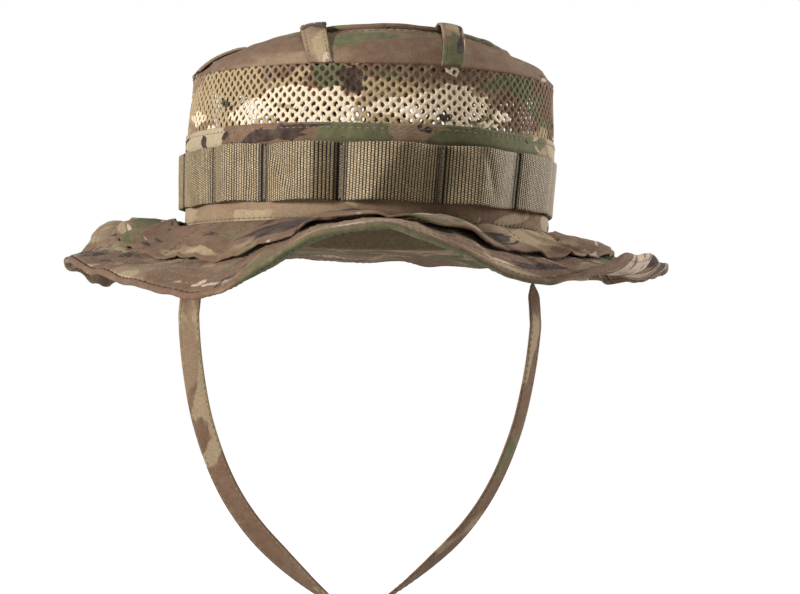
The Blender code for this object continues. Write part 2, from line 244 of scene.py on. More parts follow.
def skin_folds(theta, level):
    """Slack and soft folds of the upper side and the top."""
    s = length_of(theta)
    side = waves(s, level * 0.02, 21, 5, 16, slant=60) * 0.8 * MM
    side = side + crease(waves(s, level * 0.02, 22, 3, 9, slant=110)) * 0.9 * MM
    side = side + 2.3 * MM * np.sin(math.pi * np.clip(level, 0, 1)) ** 0.8
    x, y = np.sin(theta) * (2 - level), np.cos(theta) * (2 - level)
    top = (np.sin(5.1 * x + 1.3) * np.sin(4.3 * y + 0.4) + 0.5 * np.sin(9.7 * x - 6.1 * y)) * 1.0 * MM
    near_seam = 1 - np.exp(-(((level - 1) / 0.10) ** 2))
    return np.where(level > 1, top * smooth(level, 1.02, 1.25), side * smooth(level, 0, 0.25)) * near_seam


def skin(theta, level, out=0.0):
    """Points of the crown above the mesh, out metres off its folded surface."""
    theta, level, out = np.broadcast_arrays(theta, level, out)
    lift = (out + skin_folds(theta, level))[..., None]
    return skin_plain(theta, level) + skin_normal(theta, level) * lift


# ---------------------------------------------------------------- the brim as a surface

def rim_heights():
    """Height of the brim's free edge round the hat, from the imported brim."""
    points = np.array([v.co for v in frame["nodes"]["brim_top_cloth"].data.vertices])
    theta = np.arctan2(points[:, 0] / (CROWN_A + BRIM_WIDTH), -points[:, 1] / (CROWN_B + BRIM_WIDTH))
    plan = oval(theta, CROWN_A, CROWN_B)
    reach = np.linalg.norm(points[:, :2] - plan, axis=1)
    outer = reach > 0.8 * BRIM_WIDTH
    theta, heights = theta[outer], points[outer, 2]
    order = np.argsort(theta)
    theta, heights = theta[order], heights[order]
    groups = np.concatenate([[0], np.cumsum(np.diff(theta) > 0.02)])
    angles = np.array([theta[groups == g].mean() for g in range(groups[-1] + 1)])
    tops = np.array([heights[groups == g].max() for g in range(groups[-1] + 1)])
    return angles, tops


RIM_ANGLES, RIM_TOPS = rim_heights()
SHAPE_SHARES = (0.0, 0.3, 0.6, 0.85, 1.0)
# degrees from the front, the brim's height in millimetres at the middle three of SHAPE_SHARES, and how
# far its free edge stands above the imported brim's
BRIM_SHAPE = (
    (-180, 0.0, -1.0, -2.0, 0.0), (-150, 0.0, -0.5, -2.5, 0.0), (-130, 0.5, 1.5, -2.5, -3.0),
    (-116, 2.0, 3.5, -3.0, -7.0), (-106, 0.5, -1.5, -9.0, -3.0), (-97, -3.0, -8.5, -13.5, 2.0),
    (-88, -6.5, -11.5, -14.5, 2.0), (-74, -10.5, -16.5, -19.0, 1.8), (-60, -12.0, -20.5, -24.0, 1.8),
    (-46, -11.5, -22.0, -29.0, 0.5), (-36, -9.5, -21.0, -29.5, -3.2), (-24, -4.5, -12.0, -19.0, -2.6),
    (-12, -1.0, -3.0, -6.0, -1.0), (0, -0.5, -2.0, -4.5, 0.0), (12, -3.0, -8.5, -14.5, -0.9),
    (24, -7.5, -15.5, -22.0, -1.1), (36, -9.0, -15.5, -18.5, 3.5), (48, -9.5, -14.5, -16.0, 4.2),
    (60, -8.5, -13.5, -15.5, 4.5), (70, -6.5, -12.0, -15.0, 4.0), (82, -5.0, -10.5, -14.5, 2.5),
    (94, -2.5, -7.0, -11.5, 1.5), (110, 0.5, -3.0, -9.0, 0.0), (124, 0.5, -2.0, -8.0, 0.0),
    (145, 0.0, -2.0, -5.0, 0.0), (180, 0.0, -1.0, -2.0, 0.0),
)
BRIM_STEPS = 61
BRIM_SHARES = np.linspace(0, 1, BRIM_STEPS)
STITCH_SHARES = (0.955, 0.84, 0.73, 0.62, 0.51)


def curve_round(degrees, angles, values):
    """A smooth closed curve round the hat through values at angles."""
    angles = np.asarray(angles, float)
    values = np.asarray(values, float)
    i = np.clip(np.searchsorted(angles, degrees, side="right") - 1, 0, len(angles) - 2)
    last = len(angles) - 1
    before = np.where(i == 0, last - 1, i - 1)
    after = np.where(i + 2 > last, 1, i + 2)
    wide = angles[i + 1] - angles[i]
    wide_before = np.where(i == 0, angles[last] - angles[last - 1], angles[i] - angles[before])
    next_but_one = angles[np.minimum(i + 2, last)]
    wide_after = np.where(i + 2 > last, angles[1] - angles[0], next_but_one - angles[i + 1])
    rise = (values[i + 1] - values[i]) / wide
    rise_before = (values[i] - values[before]) / wide_before
    rise_after = (values[after] - values[i + 1]) / wide_after
    start = (rise_before * wide + rise * wide_before) / (wide + wide_before)
    end = (rise * wide_after + rise_after * wide) / (wide + wide_after)
    t = (degrees - angles[i]) / wide
    a = (2 * t**3 - 3 * t**2 + 1) * values[i] + (-2 * t**3 + 3 * t**2) * values[i + 1]
    return a + wide * ((t**3 - 2 * t**2 + t) * start + (t**3 - t**2) * end)


def shape_weights():
    """How much each control share counts at each of BRIM_SHARES: a natural cubic spline."""
    knots = np.array(SHAPE_SHARES)
    count = len(knots)
    gaps = np.diff(knots)
    system = np.zeros((count, count))
    drive = np.zeros((count, count))
    system[0, 0] = system[-1, -1] = 1
    for k in range(1, count - 1):
        system[k, k - 1:k + 2] = (gaps[k - 1], 2 * (gaps[k - 1] + gaps[k]), gaps[k])
        drive[k, k - 1] = 6 / gaps[k - 1]
        drive[k, k] = -6 / gaps[k - 1] - 6 / gaps[k]
        drive[k, k + 1] = 6 / gaps[k]
    bend = np.linalg.solve(system, drive)
    i = np.clip(np.searchsorted(knots, BRIM_SHARES, side="right") - 1, 0, count - 2)
    t = (BRIM_SHARES - knots[i])[:, None]
    gap = gaps[i][:, None]
    share_of = np.eye(count)
    low, high = share_of[i], share_of[i + 1]
    curve = low + (high - low) * t / gap
    return curve + (t * (t - gap) * (bend[i] * (2 * gap - t) + bend[i + 1] * (t + gap))) / (6 * gap)


SHAPE_WEIGHTS = shape_weights()


def brim_columns(s):
    """Plan distance and height of the brim at each of BRIM_SHARES, for each distance round the hat."""
    s = np.asarray(s, float).reshape(-1)
    theta = theta_of(s)
    degrees = np.degrees(theta)
    angles = [row[0] for row in BRIM_SHAPE]
    edge = np.interp(theta, RIM_ANGLES, RIM_TOPS, period=TAU)
    levels = [curve_round(degrees, angles, [row[k] for row in BRIM_SHAPE]) * MM for k in range(1, 5)]
    knots = np.stack([np.zeros(len(s)), levels[0], levels[1], levels[2], edge + levels[3]], axis=-1)
    height = knots @ SHAPE_WEIGHTS.T
    share = BRIM_SHARES[None, :]
    soft = waves(s, 0, 31, 7, 15)[:, None] * 0.7 * MM + waves(s, 0, 32, 18, 34)[:, None] * 0.4 * MM
    height = height + soft * smooth(share, 0.1, 1.0)
    wrinkle = waves(s[:, None], share * 0.058, 33, 10, 40, slant=160) * 0.40 * MM
    height = height + wrinkle * smooth(share, 0.05, 0.3)
    wide = BRIM_WIDTH + 3 * MM * bump_at(degrees, -112, 14) + 1.5 * MM * bump_at(degrees, 72, 30)
    rise = np.diff(height, axis=1)
    run = np.sqrt(np.maximum((wide[:, None] / (BRIM_STEPS - 1)) ** 2 - rise**2, 1e-9))
    reach = np.concatenate([np.zeros((len(s), 1)), np.cumsum(run, axis=1)], axis=1)
    return reach, height


def brim(s, share):
    """Points of the brim's middle surface and its normals."""
    s, share = np.broadcast_arrays(np.asarray(s, float), np.asarray(share, float))
    shape = s.shape
    flat_s = s.reshape(-1)
    unique, back = np.unique(np.round(flat_s, 7), return_inverse=True)
    step = 0.5 * MM
    found = []
    for shift in (0, step):
        reach, height = brim_columns(unique + shift)
        at = np.clip(share.reshape(-1), 0, 1) * (BRIM_STEPS - 1)
        i = np.minimum(at.astype(int), BRIM_STEPS - 2)
        t = at - i
        r = reach[back, i] * (1 - t) + reach[back, i + 1] * t
        z = height[back, i] * (1 - t) + height[back, i + 1] * t
        dr = reach[back, i + 1] - reach[back, i]
        dz = height[back, i + 1] - height[back, i]
        theta = theta_of(flat_s + shift)
        out = outward(theta)
        plan = oval(theta, CROWN_A, CROWN_B) + out * r[:, None]
        found.append(np.concatenate([plan, z[:, None]], axis=1))
        if shift == 0:
            along = np.concatenate([out * dr[:, None], dz[:, None]], axis=1)
    across = found[1] - found[0]
    normal = unit(np.cross(across, along))
    normal = np.where(normal[:, 2:3] < 0, -normal, normal)
    return found[0].reshape(*shape, 3), normal.reshape(*shape, 3)


def brim_quilting(s, share):
    """The dimple that each row of stitching pulls into the brim's cloth."""
    total = np.zeros(np.broadcast(s, share).shape)
    for k, row in enumerate(STITCH_SHARES[1:]):
        pull = 0.7 + 0.3 * np.sin(TAU * s / (3.2 * MM) + k)
        total = total - bump_at(share, row, 0.014) * 0.22 * MM * pull
    pucker = waves(s, share * 0.06, 41, 60, 120, count=6, slant=90) * 0.12 * MM
    creases = crease(waves(s, share * 0.058, 42, 8, 30, count=5, slant=150), 3.0) * 0.45 * MM
    creases = creases * smooth(share, 0.1, 0.3) * (1 - smooth(share, 0.85, 0.93))
    return total + pucker * smooth(share, 0.45, 0.55) + creases


def brim_plan(s, share):
    """Flat cutting pattern of the brim, for the way its print runs."""
    s, share = np.broadcast_arrays(s, share)
    theta = theta_of(s)
    return oval(theta, CROWN_A, CROWN_B) + outward(theta) * (BRIM_WIDTH * share)[..., None]


# ---------------------------------------------------------------- meshes

def make_object(name, verts, faces, uvs=None, tone=None):
    """An object from points and faces, with UVs in metres per corner and an optional tone per point."""
    mesh = bpy.data.meshes.new(name)
    mesh.from_pydata(verts, [], faces)
    if uvs is not None:
        layer = mesh.uv_layers.new(name="cloth")
        layer.data.foreach_set("uv", np.asarray(uvs, np.float32).reshape(-1))
    if tone is not None:
        colours = mesh.color_attributes.new("tone", "FLOAT_COLOR", "POINT")
        colours.data.foreach_set("color", np.asarray(tone, np.float32).reshape(-1))
    mesh.polygons.foreach_set("use_smooth", np.ones(len(mesh.polygons), bool))
    mesh.update()
    item = bpy.data.objects.new(name, mesh)
    bpy.context.scene.collection.objects.link(item)
    return item


def signed_volume(points, quads):
    """Six times the volume inside a mesh of quads."""
    a, b, c, d = (points[quads[:, k]] for k in range(4))
    return float((a * np.cross(b, c)).sum() + (a * np.cross(c, d)).sum())


def sweep(name, points, closed, u, v, tone=None, flat_uv=None):
    """A closed solid from sections of closed profiles: points[i, j], u[i] along, v[j] across, in metres.

    flat_uv gives the print's place on the cloth for each point, where u and v would stretch it.
    """
    count, ring = points.shape[:2]
    spans = count if closed else count - 1
    i, j = np.meshgrid(np.arange(spans), np.arange(ring), indexing="ij")
    n, m = (i + 1) % count, (j + 1) % ring
    quads = np.stack([i * ring + j, n * ring + j, n * ring + m, i * ring + m], axis=-1).reshape(-1, 4)
    u_far = np.append(u, u[-1] + (u[-1] - u[-2]))
    v_far = np.append(v, v[0])
    corner_u = np.stack([u_far[i], u_far[i + 1], u_far[i + 1], u_far[i]], axis=-1)
    corner_v = np.stack([v_far[j], v_far[j], v_far[j + 1], v_far[j + 1]], axis=-1)
    uvs = np.stack([corner_u, corner_v], axis=-1).reshape(-1, 2)
    if flat_uv is not None:
        uvs = flat_uv.reshape(-1, 2)[quads].reshape(-1, 2)
    flat = points.reshape(-1, 3)
    faces = quads.tolist()
    if not closed:
        faces.append(list(range(ring)))
        faces.append(list(range(count * ring - 1, (count - 1) * ring - 1, -1)))
        ends = np.stack([np.repeat([u[0], u[-1]], ring), np.concatenate([v, v[::-1]])], axis=-1)
        uvs = np.concatenate([uvs, ends])
    if signed_volume(flat, quads) < 0:
        sizes = np.array([len(f) for f in faces])
        starts = np.concatenate([[0], np.cumsum(sizes)[:-1]])
        order = np.concatenate([np.arange(a, a + k)[::-1] for a, k in zip(starts, sizes)])
        uvs = uvs[order]
        faces = [f[::-1] for f in faces]
    return make_object(name, flat.tolist(), faces, uvs, None if tone is None else tone.reshape(-1, 4))


def strip_profile(start, end, thick, steps, edge_steps=4):
    """Closed profile of a flat strip with round edges: positions across it, and offsets from its middle."""
    half = thick / 2
    across = np.linspace(start + half, end - half, steps)
    turn = np.linspace(math.pi / 2, -math.pi / 2, edge_steps + 2)[1:-1]
    far = end - half + half * np.cos(turn)
    near = start + half - half * np.cos(turn)
    v = np.concatenate([across, far, across[::-1], near])
    rise = half * np.sin(turn)
    out = np.concatenate([np.full(steps, half), rise, np.full(steps, -half), rise[::-1]])
    return v, out


# one stitch: places along it from end to end, how thick and how deep it is there, and its sides
THREAD_PLACES = np.array([-1.0, -0.78, -0.3, 0.3, 0.78, 1.0])
THREAD_WIDTHS = np.array([0.35, 0.8, 1.0, 1.0, 0.8, 0.35])
THREAD_DEPTHS = np.array([-1.5, -0.5, 0.0, 0.0, -0.5, -1.5])
THREAD_SINK = 0.35
THREAD_SIDES = 6


def stitches(name, line, normals, length=2.5 * MM, gap=0.9 * MM, radius=0.24 * MM, closed=True):
    """A row of sewn stitches along a line of points, each a short thread whose ends dip into the cloth."""
    if closed:
        line = np.concatenate([line, line[:1]])
        normals = np.concatenate([normals, normals[:1]])
    along = run_of(line)
    count = max(1, int(round(along[-1] / (length + gap))))
    pitch = along[-1] / count
    middles = (np.arange(count) + 0.5) * pitch
    at = middles[:, None] + THREAD_PLACES[None, :] * (pitch - gap) / 2
    centre = np.stack([np.interp(at, along, line[:, k]) for k in range(3)], axis=-1)
    normal = unit(np.stack([np.interp(at, along, normals[:, k]) for k in range(3)], axis=-1))
    side = np.cross(normal, np.gradient(centre, axis=1))
    side = side / np.maximum(np.linalg.norm(side, axis=-1, keepdims=True), 1e-12)
    centre = centre + normal * (radius * (1 - THREAD_SINK + THREAD_DEPTHS))[None, :, None]
    turn = np.arange(THREAD_SIDES) / THREAD_SIDES * TAU
    ring = np.cos(turn)[None, None, :, None] * side[:, :, None, :]
    ring = ring + np.sin(turn)[None, None, :, None] * normal[:, :, None, :]
    points = centre[:, :, None, :] + ring * (radius * THREAD_WIDTHS)[None, :, None, None]
    rings, sides = len(THREAD_PLACES), THREAD_SIDES
    i, j = np.meshgrid(np.arange(rings - 1), np.arange(sides), indexing="ij")
    m = (j + 1) % sides
    corners = (i * sides + j, i * sides + m, (i + 1) * sides + m, (i + 1) * sides + j)
    quads = np.stack(corners, axis=-1).reshape(-1, 4)
    first = np.arange(sides)[::-1]
    last = np.arange(sides) + (rings - 1) * sides
    starts = np.arange(count) * rings * sides
    all_quads = (quads[None] + starts[:, None, None]).reshape(-1, 4)
    flat = points.reshape(-1, 3)
    if signed_volume(flat, all_quads) < 0:
        all_quads = all_quads[:, ::-1]
        first, last = first[::-1], last[::-1]
    faces = all_quads.tolist()
    for begin in starts:
        faces.append((first + begin).tolist())
        faces.append((last + begin).tolist())
    return make_object(name, flat.tolist(), faces)


def join(name, items):
    """Several objects as one."""
    for item in bpy.context.scene.objects:
        item.select_set(False)
    for item in items:
        item.select_set(True)
    bpy.context.view_layer.objects.active = items[0]
    bpy.ops.object.join()
    items[0].name = name
    items[0].data.name = name
    return items[0]


# ---------------------------------------------------------------- materials

class Cloth:
    """A material under construction: short helpers for its nodes."""

    def __init__(self, name, roughness, sheen=0.0):
        self.material = bpy.data.materials.new(name)
        self.material.use_nodes = True
        self.tree = self.material.node_tree
        self.shader = self.tree.nodes["Principled BSDF"]
        self.shader.inputs["Roughness"].default_value = roughness
        self.shader.inputs["Specular IOR Level"].default_value = 0.15
        self.shader.inputs["Sheen Weight"].default_value = sheen
        self.shader.inputs["Sheen Roughness"].default_value = 0.6

    def put(self, node, key, value):
        """Link a socket, or set a value."""
        if isinstance(value, bpy.types.NodeSocket):
            self.tree.links.new(value, node.inputs[key])
        else:
            node.inputs[key].default_value = value

    def node(self, kind, inputs, **settings):
        """A new node with its settings and its inputs."""
        made = self.tree.nodes.new(kind)
        for key, value in settings.items():
            setattr(made, key, value)
        for key, value in inputs.items():
            self.put(made, key, value)
        return made

    def math(self, operation, a, b=0.0):
        return self.node("ShaderNodeMath", {0: a, 1: b}, operation=operation).outputs[0]

    def uv(self, scale=(1, 1, 1), offset=(0, 0, 0)):
        """Place on the cloth, in metres."""
        source = self.node("ShaderNodeUVMap", {}, uv_map="cloth").outputs["UV"]
        inputs = {"Vector": source, "Location": offset, "Scale": scale}
        return self.node("ShaderNodeMapping", inputs).outputs["Vector"]

    def place(self):
        """Place in space, for a piece without cloth coordinates."""
        return self.node("ShaderNodeTexCoord", {}).outputs["Object"]

    def noise(self, vector, scale, detail=2.0, roughness=0.5, distortion=0.0):
        inputs = {"Vector": vector, "Scale": scale, "Detail": detail, "Roughness": roughness,
                  "Distortion": distortion}
        return self.node("ShaderNodeTexNoise", inputs).outputs["Fac"]

    def step(self, value, low, high):
        """Smooth step of a value between low and high."""
        inputs = {"Value": value, "From Min": low, "From Max": high}
        return self.node("ShaderNodeMapRange", inputs, interpolation_type="SMOOTHSTEP").outputs["Result"]

    def mix(self, factor, a, b, blend="MIX"):
        inputs = {0: factor, 6: a, 7: b}
        return self.node("ShaderNodeMix", inputs, data_type="RGBA", blend_type=blend).outputs[2]

    def tone(self):
        """The guide channels of the piece: brown, green, pale and dark, 0.5 where there is no guide."""
        made = self.node("ShaderNodeAttribute", {}, attribute_type="GEOMETRY", attribute_name="tone")
        split = self.node("ShaderNodeSeparateColor", {0: made.outputs["Color"]})
        return split.outputs[0], split.outputs[1], split.outputs[2], made.outputs["Alpha"]

    def bump(self, height, strength, distance):
        inputs = {"Height": height, "Strength": strength, "Distance": distance}
        self.put(self.shader, "Normal", self.node("ShaderNodeBump", inputs).outputs["Normal"])

    def colour(self, value):
        """Finish with a base colour."""
        self.put(self.shader, "Base Color", value)
        return self.material


# linear colours of the printed cloth
TAN = (0.300, 0.205, 0.125, 1)
SAND = (0.430, 0.325, 0.195, 1)
BROWN = (0.180, 0.105, 0.064, 1)
RUSSET = (0.235, 0.135, 0.085, 1)
GREEN = (0.105, 0.118, 0.052, 1)
OLIVE = (0.225, 0.190, 0.090, 1)
PALE = (0.600, 0.460, 0.345, 1)
DARK = (0.050, 0.028, 0.024, 1)
MOTTLE = (0.340, 0.270, 0.190, 1)


def camouflage(name, seed, pale_print=PALE, sand=SAND):
    """Printed cloth: soft tan, brown and green fields, with small pale and dark shapes, over a fine weave."""
    cloth = Cloth(name, 0.92, sheen=0.05)
    brown, green, pale, dark = (cloth.math("SUBTRACT", guide, 0.5) for guide in cloth.tone())
    shift = (seed * 0.731, seed * 0.417, seed * 0.173)
    wide = cloth.uv((1, 1.9, 1), shift)
    wider = cloth.uv((1, 2.5, 1), tuple(-c for c in shift))
    pale_place = cloth.uv((1, 2.6, 1), (seed * 0.29, 3.1, 0))
    dark_place = cloth.uv((1, 2.2, 1), (2.7, seed * 0.53, 0))

    def share(value, low, high, strength):
        return cloth.math("MULTIPLY", cloth.step(value, low, high), strength)

    field = cloth.math("ADD", cloth.noise(wide, 17, 3, 0.55, 0.7), brown)
    colour = cloth.mix(cloth.step(field, 0.44, 0.58), TAN, BROWN)
    rust = cloth.noise(wider, 30, 2, 0.5, 0.4)
    colour = cloth.mix(share(rust, 0.52, 0.70, 0.55), colour, RUSSET)
    yellow = cloth.math("SUBTRACT", cloth.noise(wide, 24, 3, 0.5, 0.8), cloth.math("MULTIPLY", brown, 0.5))
    colour = cloth.mix(share(yellow, 0.555, 0.60, 0.8), colour, sand)
    leaf = cloth.math("ADD", cloth.noise(wider, 20, 3, 0.5, 0.9), green)
    colour = cloth.mix(share(leaf, 0.53, 0.60, 0.55), colour, OLIVE)
    colour = cloth.mix(share(leaf, 0.575, 0.605, 0.85), colour, GREEN)
    light = cloth.math("ADD", cloth.noise(pale_place, 34, 2, 0.45, 0.9), pale)
    colour = cloth.mix(cloth.step(light, 0.645, 0.665), colour, pale_print)
    twig = cloth.math("ADD", cloth.noise(dark_place, 40, 3, 0.5, 1.3), dark)
    colour = cloth.mix(cloth.step(twig, 0.650, 0.668), colour, DARK)
    warp = cloth.noise(cloth.uv((1, 0.12, 1)), 2600, 1, 0.5)
    weft = cloth.noise(cloth.uv((0.12, 1, 1)), 2600, 1, 0.5)
    weave = cloth.math("ADD", warp, weft)
    darker = cloth.mix(1.0, colour, (0.80, 0.80, 0.80, 1), "MULTIPLY")
    lighter = cloth.mix(1.0, colour, (1.18, 1.17, 1.16, 1), "MULTIPLY")
    colour = cloth.mix(cloth.step(weave, 0.6, 1.4), darker, lighter)
    mottle = cloth.noise(cloth.uv(), 210, 3, 0.6)
    colour = cloth.mix(share(mottle, 0.35, 0.75, 0.22), colour, MOTTLE)
    cloth.bump(weave, 0.35, 0.00025)
    return cloth.colour(colour)


def webbing_material():
    """Nylon webbing: pale ribs of beaded thread over near-black gaps, the gaps being painted shade in the
    grooves between ribs; one rib to each millimetre of its print.
    """
    cloth = Cloth("nylon_webbing", 0.55, sheen=0.05)
    # the first tone channel: the rib's height across each rib, lowered beside the tacks for painted shade
    rib = cloth.tone()[0]
    split = cloth.node("ShaderNodeSeparateXYZ", {0: cloth.uv()})
    column = cloth.math("FLOOR", cloth.math("MULTIPLY", split.outputs[0], 1000.0))
    height = cloth.math("MULTIPLY", split.outputs[1], TAU / (1.05 * MM))
    beads = cloth.math("SINE", cloth.math("ADD", height, cloth.math("MULTIPLY", column, math.pi)))
    patchy = cloth.noise(cloth.uv((1, 0.6, 1)), 160, 3, 0.6)
    pale = cloth.mix(cloth.step(patchy, 0.35, 0.7), (0.80, 0.63, 0.39, 1), (0.58, 0.44, 0.26, 1))
    speckle = cloth.noise(cloth.uv(), 2400, 2)
    fine = cloth.mix(cloth.step(speckle, 0.3, 0.7), (0.26, 0.19, 0.105, 1), pale)
    thread = cloth.mix(cloth.step(beads, -0.95, 0.1), (0.17, 0.12, 0.066, 1), fine)
    # painted shade: where the rib's height falls the colour goes to near black, the shade of the groove
    # between ribs
    colour = cloth.mix(cloth.step(rib, 0.48, 0.86), (0.014, 0.009, 0.005, 1), thread)
    cloth.bump(beads, 0.25, 0.0003)
    return cloth.colour(colour)


def thread_material(name, base, varied):
    """Twisted sewing thread."""
    cloth = Cloth(name, 0.6, sheen=0.1)
    speckle = cloth.noise(cloth.place(), 1400, 2)
    colour = cloth.mix(cloth.step(speckle, 0.35, 0.65), base, varied)
    cloth.bump(speckle, 0.3, 0.0001)
    return cloth.colour(colour)


def plain_cloth(name, base, varied, scale=1800):
    """Undyed or plain woven tape."""
    cloth = Cloth(name, 0.9, sheen=0.15)
    warp = cloth.noise(cloth.uv((1, 0.15, 1)), scale, 1)
    weft = cloth.noise(cloth.uv((0.15, 1, 1)), scale, 1)
    weave = cloth.math("ADD", warp, weft)
    blotch = cloth.noise(cloth.uv(), 120, 3)
    colour = cloth.mix(cloth.step(weave, 0.7, 1.3), base, varied)
    colour = cloth.mix(cloth.math("MULTIPLY", cloth.step(blotch, 0.4, 0.7), 0.25), colour, base)
    cloth.bump(weave, 0.35, 0.0003)
    return cloth.colour(colour)


def leather_material():
    """Smooth dark leather with a fine grain and scuffs."""
    cloth = Cloth("keeper_leather", 0.5)
    grain = cloth.noise(cloth.place(), 1100, 4, 0.6)
    scuff = cloth.noise(cloth.place(), 260, 3)
    colour = cloth.mix(cloth.step(scuff, 0.4, 0.7), (0.085, 0.046, 0.026, 1), (0.150, 0.088, 0.050, 1))
    cloth.bump(grain, 0.4, 0.0003)
    return cloth.colour(colour)


PRINTS = {
    "band": {"pale_print": (0.45, 0.36, 0.235, 1)},
    "mesh": {"pale_print": (0.86, 0.69, 0.48, 1), "sand": (0.50, 0.37, 0.20, 1)},
}
CAMOUFLAGED = ("band", "mesh", "upper", "top", "loop", "brim", "underbrim", "tape", "strap", "piping")
CAMO = {
    part: camouflage(f"{part}_camouflage", seed, **PRINTS.get(part, {}))
    for seed, part in enumerate(CAMOUFLAGED, start=1)
}
THREAD = {
    use: thread_material(f"{use}_thread", (*base, 1), (*varied, 1))
    for use, base, varied in (
        ("band", (0.20, 0.17, 0.10), (0.30, 0.24, 0.16)),
        ("tack", (0.34, 0.27, 0.19), (0.20, 0.15, 0.10)),
        ("khaki", (0.36, 0.30, 0.18), (0.26, 0.21, 0.12)),
        ("brim", (0.27, 0.215, 0.13), (0.19, 0.15, 0.09)),
        # the hem row's thread: dark thread deepened to near black, partly painted shade of the ditch it sits
        # in
        ("dark", (0.030, 0.022, 0.014), (0.055, 0.040, 0.024)),
        ("green", (0.20, 0.19, 0.11), (0.13, 0.12, 0.07)),
        ("pale", (0.52, 0.45, 0.31), (0.38, 0.32, 0.21)),
    )
}
WEBBING = webbing_material()
LINING = plain_cloth("lining_cloth", (0.200, 0.150, 0.088, 1), (0.300, 0.230, 0.140, 1))
FELT = plain_cloth("stiffener_felt", (0.55, 0.52, 0.45, 1), (0.62, 0.59, 0.52, 1), 900)
LEATHER = leather_material()


# ---------------------------------------------------------------- putting a piece in its place

def guided(s, v, spots):
    """Tone channels (brown, green, pale, dark) raised or lowered round spots on the cloth, in millimetres.

    Each spot is (s, v, half length, half height, channel, strength), with s round the hat from the front.
    """
    tone = np.full((*np.broadcast(s, v).shape, 4), 0.5)
    channels = {"brown": 0, "green": 1, "pale": 2, "dark": 3}
    for at_s, at_v, half_s, half_v, channel, strength in spots:
        away = ((s - at_s * MM) / (half_s * MM)) ** 2 + ((v - at_v * MM) / (half_v * MM)) ** 2
        tone[..., channels[channel]] += strength * np.exp(-away)
    return np.clip(tone, 0, 1)


def settle(item, body, material, nodes=()):
    """Give a piece its material, its body and the CAD nodes that it stands for."""
    item.data.materials.clear()
    item.data.materials.append(material)
    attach(item, body)
    if nodes:
        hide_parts(*nodes)
    return item


# ---------------------------------------------------------------- camera

LENS = 144.85


def look_from(azimuth, elevation, roll, distance, shift_x, shift_y):
    """A long lens a little below the brim, shifted so that the crown sits high in the frame."""
    a, e, r = (math.radians(angle) for angle in (azimuth, elevation, roll))
    right = Vector((math.cos(a), math.sin(a), 0))
    back = Vector((math.sin(a) * math.cos(e), -math.cos(a) * math.cos(e), math.sin(e)))
    up = back.cross(right)
    right, up = right * math.cos(r) + up * math.sin(r), up * math.cos(r) - right * math.sin(r)
    data = bpy.data.cameras.new("camera")
    data.sensor_width = 36
    data.lens = LENS
    data.shift_x, data.shift_y = shift_x, shift_y
    data.clip_start, data.clip_end = 0.05, 50
    camera = bpy.data.objects.new("camera", data)
    bpy.context.scene.collection.objects.link(camera)
    camera.location = back * distance
    camera.rotation_mode = "QUATERNION"
    camera.rotation_quaternion = Matrix((right, up, back)).transposed().to_quaternion()
    bpy.context.scene.camera = camera


look_from(azimuth=-7, elevation=-3.1, roll=1.5, distance=1.5, shift_x=0.0431, shift_y=-0.0768)


# ---------------------------------------------------------------- chin strap and keeper

STRAP_WIDTH = 10 * MM
STRAP_THICK = 1.5 * MM
STRAP_TWISTS = (math.radians(38), math.radians(72))
TAPE_ROW = 3.9 * MM
# X and Z of the left half of the strap, from its sewn end down to the middle of its loop
STRAP_ROUTE = (
    (0.0793, -0.0045), (0.0793, -0.0120), (0.0793, -0.0190), (0.0799, -0.0240), (0.0805, -0.0290),
    (0.0810, -0.0350), (0.0812, -0.0420), (0.0793, -0.0600), (0.0756, -0.0800), (0.0713, -0.0950),
    (0.0650, -0.1110), (0.0573, -0.1250), (0.0475, -0.1380), (0.0355, -0.1500), (0.0235, -0.1605),
    (0.0120, -0.1695), (0.0043, -0.1770), (0.0013, -0.1840), (0.0013, -0.1950), (0.0013, -0.2060),
    (0.0043, -0.2145), (0.0092, -0.2220), (0.0106, -0.2305), (0.0068, -0.2385), (0.0000, -0.2415),
)


def smooth_route(points, steps):
    """Catmull-Rom curve through a route's points."""
    points = np.asarray(points, float)
    padded = np.concatenate([[2 * points[0] - points[1]], points, [2 * points[-1] - points[-2]]])
    a, b, c, d = padded[:-3], padded[1:-2], padded[2:-1], padded[3:]
    t = (np.arange(steps) / steps)[None, :, None]
    a, b, c, d = (p[:, None, :] for p in (a, b, c, d))
    bend = (2 * a - 5 * b + 4 * c - d) * t**2 + (3 * b - a - 3 * c + d) * t**3
    curve = ((2 * b + (c - a) * t + bend) / 2).reshape(-1, points.shape[1])
    return np.concatenate([curve, points[-1:]])


def strap_frames():
    """Centreline of the strap with its width and face directions."""
    half = [(x, 0.0, z) for x, z in STRAP_ROUTE]
    other = [(-x, 0.0, z) for x, z in STRAP_ROUTE[-2::-1]]
    path = smooth_route(half + other, 7)
    along = unit(np.gradient(path, axis=0))
    across = np.tile([0.0, 1.0, 0.0], (len(path), 1))
    face = np.cross(along, across)
    turn = smooth(-path[:, 2], 0.0165, 0.027) - smooth(-path[:, 2], 0.140, 0.180)
    turn = turn * np.where(np.arange(len(path)) < len(path) / 2, *STRAP_TWISTS)
    width = across * np.cos(turn)[:, None] + face * np.sin(turn)[:, None]
    depth = face * np.cos(turn)[:, None] - across * np.sin(turn)[:, None]
    return path, width, depth


